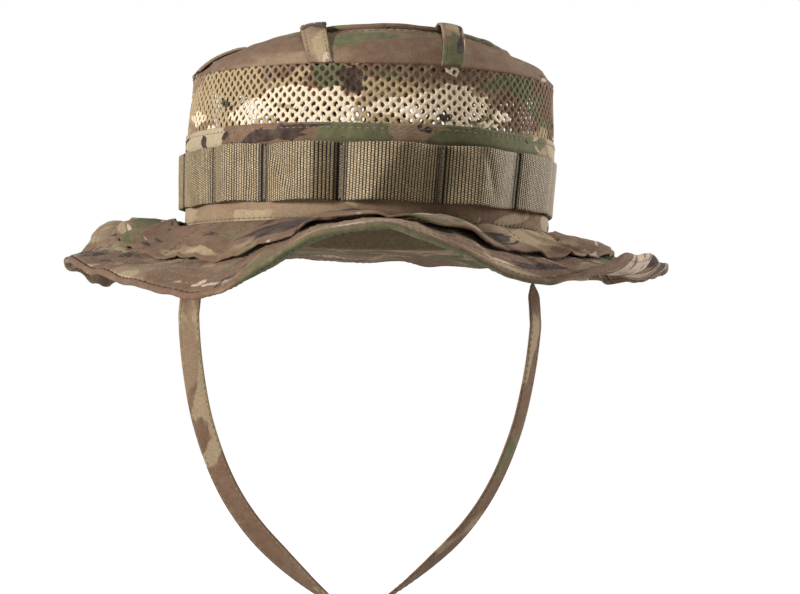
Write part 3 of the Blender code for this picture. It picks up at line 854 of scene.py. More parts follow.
def build_strap():
    """Folded cloth tape with a row of stitches along each edge, on both faces."""
    path, width, depth = strap_frames()
    along = run_of(path)
    v, out = strip_profile(-STRAP_WIDTH / 2, STRAP_WIDTH / 2, STRAP_THICK, 9)
    pinch = 1 - 0.30 * bump_at(np.abs(v), TAPE_ROW, 0.5 * MM)
    cup = 0.35 * MM * np.sin(along * 95)[:, None] * (1 - (v / (STRAP_WIDTH / 2)) ** 2)[None, :]
    points = path[:, None, :] + width[:, None, :] * v[None, :, None]
    points = points + depth[:, None, :] * ((out * pinch)[None, :] + cup * 0.5)[..., None]
    tone = guided(along[:, None], v[None, :], [
        (60, 0, 300, 60, "brown", 0.16), (95, 0, 12, 9, "green", 0.3), (250, 0, 400, 90, "dark", -0.4),
        (250, 0, 400, 90, "pale", -0.35), (250, 0, 400, 90, "green", -0.22), (440, 0, 26, 20, "brown", 0.1),
    ])
    strap = sweep("chin_strap_tape", points, False, along, v, tone)
    settle(strap, "chin_strap", CAMO["strap"], ["chin_strap"])
    rows = []
    for side in (-TAPE_ROW, TAPE_ROW):
        for face in (-1, 1):
            line = path + width * side + depth * face * STRAP_THICK * 0.36
            row = stitches("strap_row", line, depth * face, length=2.2 * MM, radius=0.2 * MM, closed=False)
            rows.append(row)
    sewing = settle(join("chin_strap_stitching", rows), "chin_strap", THREAD["khaki"])


def rounded_rectangle(half_x, half_y, corner, steps):
    """Points round a rectangle with round corners."""
    points = []
    for sx, sy, start in ((1, 1, 0), (-1, 1, 90), (-1, -1, 180), (1, -1, 270)):
        turn = np.radians(np.linspace(start, start + 90, steps))
        x = sx * (half_x - corner) + corner * np.cos(turn)
        y = sy * (half_y - corner) + corner * np.sin(turn)
        points.append(np.stack([x, y], axis=-1))
    return np.concatenate(points)


def build_keeper():
    """Leather sleeve round both runs of the strap, with two bands of stitching."""
    low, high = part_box("strap_slider")
    half_x, half_y = high.x, high.y
    wall_x, wall_y = 1.7 * MM, 1.8 * MM
    corner = 1.6 * MM
    outer = rounded_rectangle(half_x, half_y, corner, 8)
    inner = rounded_rectangle(half_x - wall_x, half_y - wall_y, 0.6 * MM, 8)
    edge = 0.5 * MM
    heights = [low.z, low.z + edge * 0.3, low.z + edge, low.z + 3.2 * MM, high.z - 3.2 * MM, high.z - edge]
    heights += [high.z - edge * 0.3, high.z]
    blends = [0.25, 0.08, 0, -0.12, -0.12, 0, 0.08, 0.25]
    outer_rows = [np.concatenate([outer * (1 - b) + inner * b, np.full((len(outer), 1), z)], axis=1)
                  for b, z in zip(blends, heights)]
    inner_rows = [np.concatenate([inner, np.full((len(inner), 1), z)], axis=1) for z in heights[::-1]]
    points = np.stack(outer_rows + inner_rows, axis=1)
    v = np.concatenate([heights, heights[::-1]])
    u = np.arange(len(outer)) * MM
    keeper = sweep("strap_keeper", points, True, u, v)
    settle(keeper, "strap_slider", LEATHER, ["strap_slider"])
    rows = []
    for z in (low.z + 1.6 * MM, high.z - 1.6 * MM):
        line = np.concatenate([outer * 1.012, np.full((len(outer), 1), z)], axis=1)
        normals = np.concatenate([unit(outer), np.zeros((len(outer), 1))], axis=1)
        rows.append(stitches("keeper_row", line, normals, length=1.5 * MM, gap=0.7 * MM, radius=0.2 * MM))
    settle(join("strap_keeper_stitching", rows), "strap_slider", THREAD["pale"])


def build_anchor(name, side, node):
    """Folded tab inside the crown, sewn to the strap's end with a box of stitches."""
    low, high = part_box(node)
    v, out = strip_profile(low.z, high.z, high.x - low.x, 8)
    y = np.linspace(low.y, high.y, 14)
    grid_y, grid_v = grid(y, v)
    points = np.stack([(low.x + high.x) / 2 + out[None, :] + 0 * grid_y, grid_y, grid_v], axis=-1)
    tab = sweep(name, points, False, y + 0.1, v, guided(grid_y, grid_v, []))
    settle(tab, "hat", CAMO["strap"], [node])
    inset = 1.6 * MM
    near, far = low.y + inset, high.y - inset
    bottom, top = low.z + inset, high.z - inset
    face = high.x if side > 0 else low.x
    box = np.array([(face, near, bottom), (face, far, bottom), (face, far, top), (face, near, top)])
    line = np.concatenate([np.linspace(a, b, 8)[:-1] for a, b in zip(box, np.roll(box, -1, axis=0))])
    normals = np.tile([float(side), 0, 0], (len(line), 1))
    row = stitches(name + "_stitching", line, normals, length=1.4 * MM, gap=0.7 * MM, radius=0.2 * MM)
    settle(row, "hat", THREAD["khaki"])


# ---------------------------------------------------------------- crown pieces

# heights of the two rows of stitches on the lower band
MESH_ROW = 41.6 * MM
BRIM_ROW = 2.4 * MM
# levels of the two rows of stitches beside the top seam
UPPER_ROW = 0.90
TOP_ROW = 1.055


def ring_of(step):
    """Evenly spaced distances round the hat, about a step apart, starting at the back."""
    count = int(round(ROUND / step))
    return (np.arange(count) / count - 0.5) * ROUND


def band_sag(s, z):
    """How far the cloth between the webbing and the mesh rises and sags."""
    return waves(s, 0, 52, 6, 18) * 0.35 * MM * smooth(z, 30 * MM, BAND_TOP)


def build_lower_band():
    """The wall below the mesh: folded and topstitched at the top, sewn to the brim at the bottom."""
    s = ring_of(0.85 * MM)
    bottom, top = band_low.z, BAND_TOP
    below, behind, above = (bottom, 9 * MM, 11), (11 * MM, 34 * MM, 9), (35 * MM, top - 0.6 * MM, 12)
    up = np.concatenate([np.linspace(*part) for part in (below, behind, above)])
    fold = 0.55 * MM * smooth(up, 35.5 * MM, 36.6 * MM)
    edge_z = np.array([top - 0.25 * MM, top, top - 0.25 * MM])
    edge_out = np.array([0.35, -0.35, -0.95]) * MM
    down = np.linspace(top - 1.2 * MM, bottom, 10)
    z = np.concatenate([up, edge_z, down])
    out = np.concatenate([fold, edge_out, np.full(len(down), -1.15 * MM)])
    outer = np.concatenate([np.ones(len(up)), np.full(3, 0.6), np.zeros(len(down))])
    grid_s, grid_z = grid(s, z)
    side_seam = bump_at(np.abs(grid_s), ROUND / 4, 3.5 * MM) * 0.7 * MM
    pull = np.sin(TAU * grid_s / (3.4 * MM))
    pucker = 0
    for height, swell, dent in ((MESH_ROW, 1.1 * MM, 0.22 * MM), (BRIM_ROW, 1.3 * MM, 0.20 * MM)):
        pucker = pucker + pull * bump_at(grid_z, height, swell) * 0.16 * MM
        pucker = pucker - bump_at(grid_z, height, 0.6 * MM) * dent
    belly = bump_at(grid_z, 5.5 * MM, 3 * MM) * (0.35 + 0.3 * waves(grid_s, grid_z, 51, 8, 22)) * MM
    points = wall(grid_s, out + (pucker + belly + side_seam) * outer, grid_z)
    points[..., 2] += band_sag(grid_s, grid_z)
    tone = guided(grid_s, grid_z, [
        (-58, 40, 27, 12, "brown", 0.5), (-58, 40, 26, 12, "green", -0.4), (-58, 40, 28, 12, "pale", -0.3),
        (-61, 39.5, 24, 3.6, "dark", 0.30), (-64, 36, 16, 4, "dark", 0.08),
        (-20, 41, 20, 9, "green", 0.42), (50, 41, 38, 9, "green", 0.42), (50, 41, 38, 9, "pale", -0.2),
        (4, 40, 9, 9, "green", -0.3), (-118, 40, 26, 9, "pale", 0.42), (-110, 39, 4, 4, "dark", 0.2),
        (112, 40, 24, 9, "pale", 0.35), (-40, 4, 110, 9, "pale", -0.35), (-80, 4, 70, 9, "brown", -0.12),
        (20, 4, 50, 9, "brown", 0.08), (100, 4, 16, 9, "pale", 0.30), (-40, 4, 110, 9, "green", -0.35),
        (40, 4, 70, 9, "green", -0.3), (-40, 4, 130, 9, "dark", -0.3), (90, 4, 40, 9, "dark", -0.3),
    ])
    band = sweep("crown_lower_band", points, True, s, z, tone)
    settle(band, "hat", CAMO["band"], ["crown_lower_front", "crown_lower_rear"])
    dense = ring_of(1.0 * MM)
    for name, height, out, thread in (
        ("mesh_seam_stitching", MESH_ROW, 0.42 * MM, THREAD["band"]),
        ("brim_seam_stitching", BRIM_ROW, 0.18 * MM, THREAD["green"]),
    ):
        line = wall(dense, out, height)
        line[:, 2] += band_sag(dense, height)
        normals = outward_in_space(theta_of(dense))
        row = stitches(name, line, normals, length=2.3 * MM, gap=1.1 * MM, radius=0.22 * MM)
        settle(row, "hat", thread)


def mesh_cell(pitch_s, pitch_z):
    """Twelve points each round the border of a cell of the mesh, round its hole, and between the two."""
    half = pitch_z / 2
    reach = (pitch_s**2 + half**2) / 2 / pitch_s
    shoulder = (pitch_s**2 + half**2 - half * pitch_z) / 2 / pitch_s
    corners = np.array([
        (reach, 0), (shoulder, half), (-shoulder, half), (-reach, 0), (-shoulder, -half), (shoulder, -half),
    ])
    middles = (corners + np.roll(corners, -1, axis=0)) / 2
    border = np.stack([corners, middles], axis=1).reshape(-1, 2)
    turn = np.arctan2(border[:, 1] / 1.5, border[:, 0] / 1.25)
    hole = np.stack([0.86 * MM * np.cos(turn), 1.18 * MM * np.sin(turn)], axis=-1)
    return border, border * 0.42 + hole * 0.58, hole


def knit_mesh():
    """The flat mesh: its points as distance round the hat, out and height, and its faces, edges shut."""
    columns = 2 * int(round(ROUND / (5.0 * MM)))
    pitch_s = ROUND / columns
    low, high = BAND_TOP - 1.2 * MM, MESH_TOP - 0.6 * MM
    rows = int((high - low) / (3.95 * MM))
    pitch_z = (high - low) / rows
    border, middle, rim = mesh_cell(pitch_s, pitch_z)
    verts, faces, marks = [], [], {}

    def vertex(at, out, key):
        if key not in marks:
            marks[key] = len(verts)
            verts.append((at[0], out, at[1]))
        return marks[key]

    def shared_key(at):
        """The same for the border points of neighbouring cells, also across the join at the back."""
        column = int(round((at[0] + ROUND / 2) / pitch_s * 240)) % (columns * 240)
        return column, int(round((at[1] - low) / pitch_z * 240))

    for c in range(columns):
        shift = 0.5 * (c % 2)
        for r in range(rows + 1 - c % 2):
            centre = np.array([c * pitch_s - ROUND / 2, low + pitch_z * (r + shift)])
            keys = [shared_key(centre + b) for b in border]
            loops = []
            for sign in (1, -1):
                outer = [vertex(centre + b, sign * 0.40 * MM, (*k, sign)) for b, k in zip(border, keys)]
                ring = []
                for i, m in enumerate(middle):
                    ring.append(vertex(centre + m, sign * 0.36 * MM, (c, r, i, sign, "m")))
                loops.append((sign, outer, ring))
            hole = [vertex(centre + m, 0.0, (c, r, i, "h")) for i, m in enumerate(rim)]
            for sign, outer, ring in loops:
                for i in range(12):
                    n = (i + 1) % 12
                    for near, far in ((outer, ring), (ring, hole)):
                        faces.append((near[i], near[n], far[n], far[i])[::sign])
    edges = {}
    for face in faces:
        for edge in zip(face, face[1:] + face[:1]):
            edges[edge] = True
    both = {}
    for key, index in marks.items():
        if len(key) == 3:
            both.setdefault(key[:2], {})[key[2]] = index
    twin = {pair[1]: pair[-1] for pair in both.values() if len(pair) == 2}
    for a, b in edges:
        if (b, a) not in edges and a in twin and b in twin:
            faces.append((b, a, twin[a], twin[b]))
    return np.array(verts), faces


def build_mesh_vent():
    """Knitted mesh with real oval holes, in columns set half a hole apart."""
    flat, faces = knit_mesh()
    s, out, z = flat.T
    gather = 0.35 * MM * np.sin(TAU * s / (11 * MM)) * smooth(z, MESH_TOP - 6 * MM, MESH_TOP)
    sway = waves(s, z, 61, 4, 12, slant=50) * 0.5 * MM * bump_at(z, (BAND_TOP + MESH_TOP) / 2, 12 * MM)
    tuck = -1.6 * MM * smooth(z, MESH_TOP - 1.2 * MM, MESH_TOP + 1.5 * MM)
    points = wall(s + 0.3 * MM * np.sin(z * 900 + s * 60), out - 0.55 * MM + gather + sway + tuck, z)
    tone = guided(s, z, [
        (-125, 58, 26, 16, "brown", -0.15), (-70, 54, 34, 14, "brown", -0.45),
        (-70, 52, 30, 12, "pale", 0.26),
        (-22, 50, 26, 8, "pale", 0.20), (20, 50, 44, 6, "pale", 0.10), (60, 54, 16, 9, "brown", 0.35),
        (-30, 58, 16, 5, "brown", 0.25), (-32, 65, 7, 6, "green", 0.5), (-20, 62, 6, 12, "dark", 0.32),
        (18, 51, 30, 8, "pale", 0.24), (18, 52, 34, 10, "brown", -0.4), (20, 48, 6, 3, "dark", 0.28),
        (10, 68, 60, 6, "brown", 0.2), (85, 58, 40, 16, "brown", 0.12), (80, 62, 36, 9, "green", 0.10),
        (-95, 58, 46, 16, "green", -0.4), (-105, 60, 34, 16, "brown", -0.3), (-70, 64, 26, 6, "pale", -0.3),
        (-60, 64, 20, 5, "brown", 0.15), (0, 58, 70, 20, "dark", -0.1),
    ])
    uvs = flat[np.array(faces).reshape(-1)][:, [0, 2]].reshape(-1, 4, 2)
    around = uvs[..., 0]
    across_the_join = np.ptp(around, axis=1, keepdims=True) > ROUND / 2
    uvs[..., 0] = np.where(across_the_join & (around < 0), around + ROUND, around)
    vent = make_object("vent_mesh_band", points.tolist(), faces, uvs.reshape(-1, 2), tone)
    settle(vent, "hat", CAMO["mesh"], ["mesh_vent_front", "mesh_vent_rear"])


def build_upper_side():
    """The sloping cloth between the mesh and the top seam, folded under at its lower edge."""
    s = ring_of(1.1 * MM)
    face = np.concatenate([[0.0, 0.02, 0.05], np.linspace(0.10, 0.90, 17), [0.95, 0.985]])
    level = np.concatenate([face, face[::-1]])
    outer = np.repeat([1.0, 0.0], len(face))
    hem = 0.5 * MM * (1 - smooth(level, 0.12, 0.16)) - 0.5 * MM * (1 - smooth(level, 0.0, 0.03))
    out = np.where(outer > 0, hem, -1.0 * MM)
    grid_s, grid_l = grid(s, level)
    seam_pull = np.sin(TAU * grid_s / (3.6 * MM)) * bump_at(grid_l, UPPER_ROW, 0.05) * 0.14 * MM
    side_seam = bump_at(np.abs(grid_s), ROUND / 4, 3.2 * MM) * 0.6 * MM
    points = skin(theta_of(grid_s), grid_l, out + (seam_pull + side_seam) * outer)
    v = level * 24 * MM + MESH_TOP
    tone = guided(grid_s, v[None, :], [
        (-10, 86, 16, 4, "green", 0.2), (-15, 90, 26, 3, "pale", 0.05), (-70, 80, 40, 12, "pale", -0.1),
        (0, 82, 60, 12, "dark", -0.2), (-80, 84, 60, 16, "brown", 0.30), (0, 80, 60, 14, "pale", -0.2),
        (100, 80, 30, 12, "brown", 0.15),
    ])
    upper = sweep("crown_upper_side", points, True, s, v, tone)
    settle(upper, "hat", CAMO["upper"], ["crown_upper_front", "crown_upper_rear"])
    build_seam_row("top_seam_stitching", UPPER_ROW, 0.12 * MM)


def build_seam_row(name, level, out):
    """A row of stitches round the crown beside its top seam."""
    theta = theta_of(ring_of(1.2 * MM))
    line, normals = skin(theta, level, out), skin_normal(theta, level)
    row = stitches(name, line, normals, length=2.5 * MM, gap=1.0 * MM, radius=0.2 * MM)
    settle(row, "hat", THREAD["green"])


def build_top_panel():
    """The oval top, slack between its seams: two faces that close at the rim."""
    theta = theta_of(ring_of(2.2 * MM))
    levels = np.concatenate([[1.022, 1.04], np.linspace(1.07, 1.97, 40)])
    count, rows = len(theta), len(levels)
    verts, faces = [], []
    for drop, order in ((0.15 * MM, 1), (-1.05 * MM, -1)):
        face = skin(theta[:, None], levels[None, :], drop)
        base = len(verts)
        verts += face.reshape(-1, 3).tolist()
        centre = len(verts)
        verts.append(face[:, -1].mean(axis=0).tolist())
        for i in range(count):
            here, beside = base + i * rows, base + (i + 1) % count * rows
            for j in range(rows - 1):
                faces.append([here + j, beside + j, beside + j + 1, here + j + 1][::order])
            faces.append([here + rows - 1, beside + rows - 1, centre][::order])
    second = count * rows + 1
    for i in range(count):
        here, beside = i * rows, (i + 1) % count * rows
        faces.append([beside, here, second + here, second + beside])
    flat = np.array(verts)
    corners = flat[np.array([i for face in faces for i in face])]
    tone = guided(flat[:, 0], flat[:, 1], [(0, 0, 40, 30, "dark", -0.15)])
    panel = make_object("crown_top", verts, faces, corners[:, :2] + 0.5, tone)
    settle(panel, "hat", CAMO["top"], ["crown_top_panel"])
    build_seam_row("top_panel_stitching", TOP_ROW, 0.25 * MM)


def build_piping():
    """The standing seam: a soft rolled welt, a little uneven, along the top edge of the crown."""
    s = ring_of(1.3 * MM)
    theta = theta_of(s)
    wobble = waves(s, 0, 71, 12, 40) * 0.18 * MM
    out = outward_in_space(theta)
    rise = np.array([0.0, 0.0, 1.0])
    turn = np.arange(14) / 14 * TAU
    size_out = 1.45 * MM * (1 + 0.10 * waves(s, 0, 72, 20, 50))
    size_up = 1.35 * MM
    centre = skin_plain(theta, 1) - out * 0.55 * MM + rise * (0.85 * MM + wobble[:, None])
    points = centre[:, None, :] + out[:, None, :] * (np.cos(turn)[None, :] * size_out[:, None])[..., None]
    points = points + rise * (np.sin(turn) * size_up)[None, :, None]
    v = turn / TAU * 9 * MM
    spots = [(0, 4, 400, 30, "brown", 0.22), (0, 4, 400, 30, "pale", -0.2)]
    piping = sweep("top_seam_welt", points, True, s, v, guided(*grid(s, v), spots))
    settle(piping, "hat", CAMO["piping"], ["top_seam_piping"])


def build_binding():
    """Tape over the raw top seam, inside."""
    s = ring_of(2.5 * MM)
    face = np.array([0.80, 0.88, 0.96, 1.02, 1.06, 1.10])
    level = np.concatenate([face, face[::-1]])
    points = skin(theta_of(s)[:, None], level, np.repeat([-1.9 * MM, -2.6 * MM], len(face)))
    binding = sweep("top_seam_binding", points, True, s, level * 20 * MM)
    settle(binding, "hat", LINING, ["top_seam_tape"])


def build_sweatband():
    """Cotton band inside the crown's lower edge, with a stitched lower and upper edge."""
    s = ring_of(1.6 * MM)
    v, out = strip_profile(sweat_low.z, sweat_high.z, 1.3 * MM, 22)
    row_heights = (sweat_low.z + 3 * MM, sweat_high.z - 3 * MM)
    middle = -2.25 * MM
    quilt = 0.25 * MM * sum(bump_at(v, height, 1 * MM) for height in row_heights)
    points = wall(s[:, None], middle + out + np.where(out < 0, quilt, 0), v)
    band = sweep("sweatband_tape", points, True, s, v)
    settle(band, "hat", LINING, ["sweatband"])
    dense = ring_of(1.2 * MM)
    rows = []
    for height in row_heights:
        line, normals = wall(dense, middle - 0.45 * MM, height), -outward_in_space(theta_of(dense))
        rows.append(stitches("sweatband_row", line, normals, length=2.6 * MM, gap=1.0 * MM, radius=0.2 * MM))
    settle(join("sweatband_stitching", rows), "hat", THREAD["khaki"])


# ---------------------------------------------------------------- webbing

FRONT_TACKS = (-95.0, -59.7, -23.2, 19.2, 62.5)
# where each front loop is fullest (share of its length), how far it stands out in millimetres, and how
# much further along it is fullest at its top edge than at its bottom one
FRONT_LOOPS = ((0.35, 3.2, 0.0), (0.70, 7.2, 0.0), (0.42, 8.4, 0.26), (0.40, 6.0, 0.1), (0.62, 2.2, 0.0))
# creases across the loops, in millimetres: both ends as distance round the hat and height, and the depth
FRONT_CREASES = (
    (-55.6, 31.8, -41.7, 13.8, 1.5), (36.0, 33.4, 44.5, 14.0, 0.7), (-71.0, 30.0, -66.0, 12.0, 0.6),
)


def webbing_tacks():
    """Distances round the hat of the webbing's tacks, in order, and the fullness of each loop."""
    rng = np.random.default_rng(5)
    tacks = [t * MM for t in FRONT_TACKS]
    rest = LOOPS - len(tacks) + 1
    gap = (tacks[0] + ROUND - tacks[-1]) / rest
    shapes = list(FRONT_LOOPS)
    for k in range(1, rest):
        tacks.append(tacks[4] + gap * k)
        beside = math.sin(theta_of(np.array(tacks[-1] + gap / 2)))
        full = rng.uniform(3.2, 4.4) if abs(beside) < 0.8 else (0.2 if beside > 0 else 1.3)
        shapes.append((rng.uniform(0.3, 0.7), full, rng.uniform(-0.2, 0.2)))
    return np.array(tacks), shapes


TACKS, LOOP_SHAPES = webbing_tacks()


def loop_rise(s, height):
    """How far the webbing stands off the crown: sewn down at the tacks, bellied out between them."""
    s, height = np.broadcast_arrays(s, height)
    along = (s - TACKS[0]) % ROUND + TACKS[0]
    index = np.clip(np.searchsorted(TACKS, along, side="right") - 1, 0, LOOPS - 1)
    ends = np.append(TACKS[1:], TACKS[0] + ROUND)
    wide = ends[index] - TACKS[index]
    share = (along - TACKS[index]) / wide
    peak, full, tilt = np.array(LOOP_SHAPES)[index].transpose(-1, *range(index.ndim))
    full = full * MM
    up = (height - (WEB_BOTTOM + WEB_TOP) / 2) / (WEB_TOP - WEB_BOTTOM)
    peak = np.clip(peak + tilt * up, 0.12, 0.88)
    climb = np.clip(share / peak, 0, 1)
    fall = np.clip((1 - share) / (1 - peak), 0, 1)
    slope = np.where(share < peak, climb, fall**1.35)
    arch = 0.35 * np.sin(slope * math.pi / 2) + 0.65 * (1 - np.sqrt((1 - slope) ** 2 + 0.012)) / 0.89
    near = np.minimum(share, 1 - share) * wide
    rise = full * arch + 0.8 * MM * smooth(near, 0.3 * MM, 2.6 * MM) * np.minimum(full / (2 * MM), 1)
    for s1, z1, s2, z2, depth in FRONT_CREASES:
        run, drop = (s2 - s1) * MM, (z2 - z1) * MM
        length = math.hypot(run, drop)
        on = ((along - s1 * MM) * run + (height - z1 * MM) * drop) / length**2
        off = ((along - s1 * MM) * drop - (height - z1 * MM) * run) / length
        within = smooth(on, -0.15, 0.2) * (1 - smooth(on, 0.75, 1.1))
        rise = rise - depth * MM * bump_at(off, 0, 2.2 * MM) * within
    return np.maximum(rise, 0)


def build_webbing():
    """Ribbed webbing in fourteen loops, with its tacks."""
    rib_count = int(round(ROUND / (1.36 * MM)))
    pitch = ROUND / rib_count
    steps = rib_count * 6
    s = (np.arange(steps) / steps - 0.5) * ROUND
    v, out = strip_profile(WEB_BOTTOM, WEB_TOP, 1.3 * MM, 19)
    grid_s, grid_v = grid(s, v)
    phase = (grid_s / pitch) % 1.0
    rib = np.sqrt(np.clip(1 - ((phase - 0.5) * 2) ** 2 * 0.98, 0, 1))
    stripe = 0.24 * MM * rib * np.where(out > 0, 1, -0.3)
    rise = loop_rise(grid_s, grid_v)
    wavy = waves(grid_s, grid_v, 81, 20, 44, slant=60) * 0.16 * MM
    points = wall(grid_s, 0.9 * MM + rise + out + stripe + wavy * smooth(rise, 0, 1.5 * MM), grid_v)
    points[..., 2] += waves(grid_s, 0, 82, 7, 20) * 0.40 * MM * smooth(rise, 0, 2 * MM)
    index = np.floor(grid_s / pitch).astype(int)
    jitter = np.random.default_rng(9).uniform(-0.10, 0.06, rib_count + 2)[index % (rib_count + 2)]
    tack = np.abs((grid_s[..., None] - TACKS + ROUND / 2) % ROUND - ROUND / 2).min(axis=-1)
    # painted shade: the ribs are darkened within a few millimetres of each tack, where the webbing dips to
    # the crown
    tack_shade = 1 - 0.28 * bump_at(tack, 1.2 * MM, 1.8 * MM)
    tone = guided(grid_s, grid_v, [])
    # first tone channel: the rib's height, which the material turns into pale rib and painted groove shade,
    # times the painted shade beside the tacks
    tone[..., 0] = np.clip((rib * 0.95 + jitter) * tack_shade, 0, 1)
    webbing = sweep("webbing_loops", points, True, (s + ROUND / 2) / pitch * MM, v, tone)
    settle(webbing, "hat", WEBBING, ["foliage_webbing"])
    heights = np.arange(WEB_BOTTOM + 1.2 * MM, WEB_TOP - 1.2 * MM, 0.55 * MM)
    sizes = {"length": 1.7 * MM, "gap": 0.05 * MM, "radius": 0.2 * MM, "closed": False}
    rows = []
    for at in TACKS:
        for i, height in enumerate(heights):
            lean = 0.25 * MM * (-1) ** i
            across = np.linspace(-0.85 * MM, 0.85 * MM, 5) + at
            level = height + np.linspace(-lean, lean, 5)
            line = wall(across, 0.9 * MM + loop_rise(across, level) + 1.15 * MM, level)
            rows.append(stitches("tack", line, outward_in_space(theta_of(across)), **sizes))
    settle(join("webbing_tacks", rows), "hat", THREAD["tack"])


# ---------------------------------------------------------------- crown loops

def loop_angles(level, centre, along_y, back):
    """Angle at which the crown at each level passes a plane across it."""
    side = np.minimum(level, 1)
    on_top = np.where(level > 1, 2 - level, 1)
    a = (CROWN_A + (TOP_A - CROWN_A) * side) * on_top
    b = (CROWN_B + (TOP_B - CROWN_B) * side) * on_top
    if along_y:
        theta = np.arcsin(centre / a)
        return math.pi - theta if back else theta
    theta = np.arccos(-centre / b)
    return -theta if back else theta


LOOP_OFFSET = 29 * MM
LOOP_SHIFT = -5.5 * MM
# where each loop is; X or Y of its middle; whether it runs along Y; whether it is on the far side of the
# oval from 0; how high it stands; and the spots of its print
CROWN_LOOPS = (
    ("front_left", LOOP_SHIFT + LOOP_OFFSET, True, False, 1.0,
     [(6, 0, 5, 9, "green", 0.35), (14, 0, 5, 9, "brown", 0.35), (24, 0, 6, 9, "brown", -0.4)]),
    ("front_right", LOOP_SHIFT - LOOP_OFFSET, True, False, 1.0,
     [(12, 0, 14, 9, "green", -0.3), (12, 0, 14, 9, "brown", -0.15), (26, 0, 4, 9, "dark", 0.2)]),
    ("rear_left", LOOP_OFFSET, True, True, 1.0, []),
    ("rear_right", -LOOP_OFFSET, True, True, 1.0, []),
    ("left", 0.0, False, False, 0.85, []),
    ("right", 0.0, False, True, 0.85, []),
)


def build_crown_loop(name, centre, along_y, back, node, spots, seed, stand=1.0):
    """A narrow tape standing over the top seam, folded in three and stitched along its edges."""
    level_keys = np.array([-0.02, 0.06, 0.20, 0.45, 0.70, 0.88, 0.98, 1.03, 1.07, 1.11, 1.15, 1.17])
    rise_keys = np.array([0.1, 0.9, 2.6, 4.2, 4.6, 4.2, 4.0, 3.9, 3.3, 2.0, 0.7, 0.3]) * MM * stand
    at = np.linspace(0, len(level_keys) - 1, 56)
    level = np.interp(at, np.arange(len(level_keys)), level_keys)
    rise = np.interp(at, np.arange(len(level_keys)), rise_keys)
    kernel = np.array([1, 2, 3, 2, 1]) / 9
    for _ in range(3):
        for values in (rise, level):
            values[2:-2] = np.convolve(values, kernel, "valid")
    normal = skin_normal(loop_angles(level, centre, along_y, back), level)
    padded = np.pad(normal, ((4, 4), (0, 0)), mode="edge")
    normal = unit(np.stack([np.convolve(padded[:, k], np.ones(9) / 9, "valid") for k in range(3)], axis=-1))
    bend = np.random.default_rng(seed).uniform(-0.5, 0.5) * MM
    sideways = bend * np.sin(np.linspace(0, math.pi, len(level)))
    half_width = 5.3 * MM

    def line_at(across, out):
        """A line along the loop, across metres from its middle and out metres off its middle surface."""
        theta = loop_angles(level, centre + across + sideways, along_y, back)
        cup = 0.35 * MM * (1 - (across / half_width) ** 2)
        return skin_plain(theta, level) + normal * (rise + out + cup)[:, None]

    v, out = strip_profile(-half_width, half_width, 1.5 * MM, 11)
    edge = -0.25 * MM * bump_at(np.abs(v), TAPE_ROW, 0.6 * MM) * np.sign(out)
    points = np.stack([line_at(across, away) for across, away in zip(v, out + edge)], axis=1)
    along = run_of(points[:, 5])
    tone = guided(along[:, None], v[None, :], spots)
    loop = sweep(name, points, False, along + seed * 0.05, v, tone)
    settle(loop, "hat", CAMO["loop"], [node])
    sizes = {"length": 2.0 * MM, "gap": 0.9 * MM, "radius": 0.17 * MM, "closed": False}
    inside = slice(3, -3)
    rows = [
        stitches("loop_row", line_at(across, 0.55 * MM)[inside], normal[inside], **sizes)
        for across in (-TAPE_ROW, TAPE_ROW)
    ]
    settle(join(name + "_stitching", rows), "hat", THREAD["green"])


# ---------------------------------------------------------------- brim pieces

BRIM_STEP = 0.95 * MM
CLOTH_SHARES = np.concatenate([[0.0, 0.02], np.linspace(0.05, 0.45, 12), np.linspace(0.47, 0.93, 44)])


def build_brim_top():
    """Upper cloth of the brim."""
    s = ring_of(BRIM_STEP)
    face = np.concatenate([CLOTH_SHARES, [0.940, 0.948, 0.954]])
    count = len(face)
    level = np.concatenate([face, face[::-1]])
    edge = np.array([1.35, 0.95, 0.35, 0.0, 0.05, 0.1]) * MM
    out = np.repeat([1.45 * MM, 0.15 * MM], count)
    out[count - 3:count + 3] = edge
    outer = np.repeat([1.0, 0.0], count)
    grid_s, grid_l = grid(s, level)
    base, normal = brim(grid_s, grid_l)
    points = base + normal * (out + brim_quilting(grid_s, grid_l) * outer)[..., None]
    v = level * BRIM_WIDTH
    tone = guided(grid_s, v[None, :], [
        (-95, 48, 60, 30, "brown", 0.12), (-95, 40, 70, 40, "green", -0.3), (-95, 40, 70, 40, "pale", -0.14),
        (10, 46, 90, 24, "green", -0.35), (60, 48, 40, 20, "brown", 0.12), (84, 52, 10, 4, "green", 0.3),
        (-62, 36, 16, 5, "green", 0.52), (-92, 51, 6, 7, "brown", -0.55), (-92, 51, 7, 8, "green", -0.2),
        (-54, 50, 12, 5, "pale", 0.48), (-26, 47, 13, 4, "pale", 0.42), (-15, 45, 60, 20, "pale", -0.08),
        (60, 47, 16, 9, "brown", -0.35), (72, 50, 9, 4, "pale", 0.36), (26, 46, 9, 4, "pale", 0.36),
        (42, 44, 12, 4, "dark", 0.26), (-38, 45, 10, 4, "green", 0.75), (-76, 46, 14, 5, "brown", 0.3),
        (-40, 40, 7, 7, "green", 0.45), (2, 50, 9, 5, "green", 0.40), (30, 50, 30, 12, "brown", -0.10),
        (48, 50, 8, 6, "brown", 0.5), (60, 50, 26, 14, "pale", -0.05), (84, 48, 16, 9, "dark", 0.10),
        (82, 44, 22, 14, "brown", 0.30), (125, 40, 40, 30, "green", 0.45), (120, 25, 40, 20, "green", 0.2),
        (-140, 30, 30, 20, "green", 0.15), (-150, 45, 20, 8, "dark", 0.16), (-200, 40, 50, 30, "brown", -0.2),
    ])
    top = sweep("brim_upper_cloth", points, True, s, v, tone, brim_plan(grid_s, grid_l))
    settle(top, "hat", CAMO["brim"], ["brim_top_cloth"])


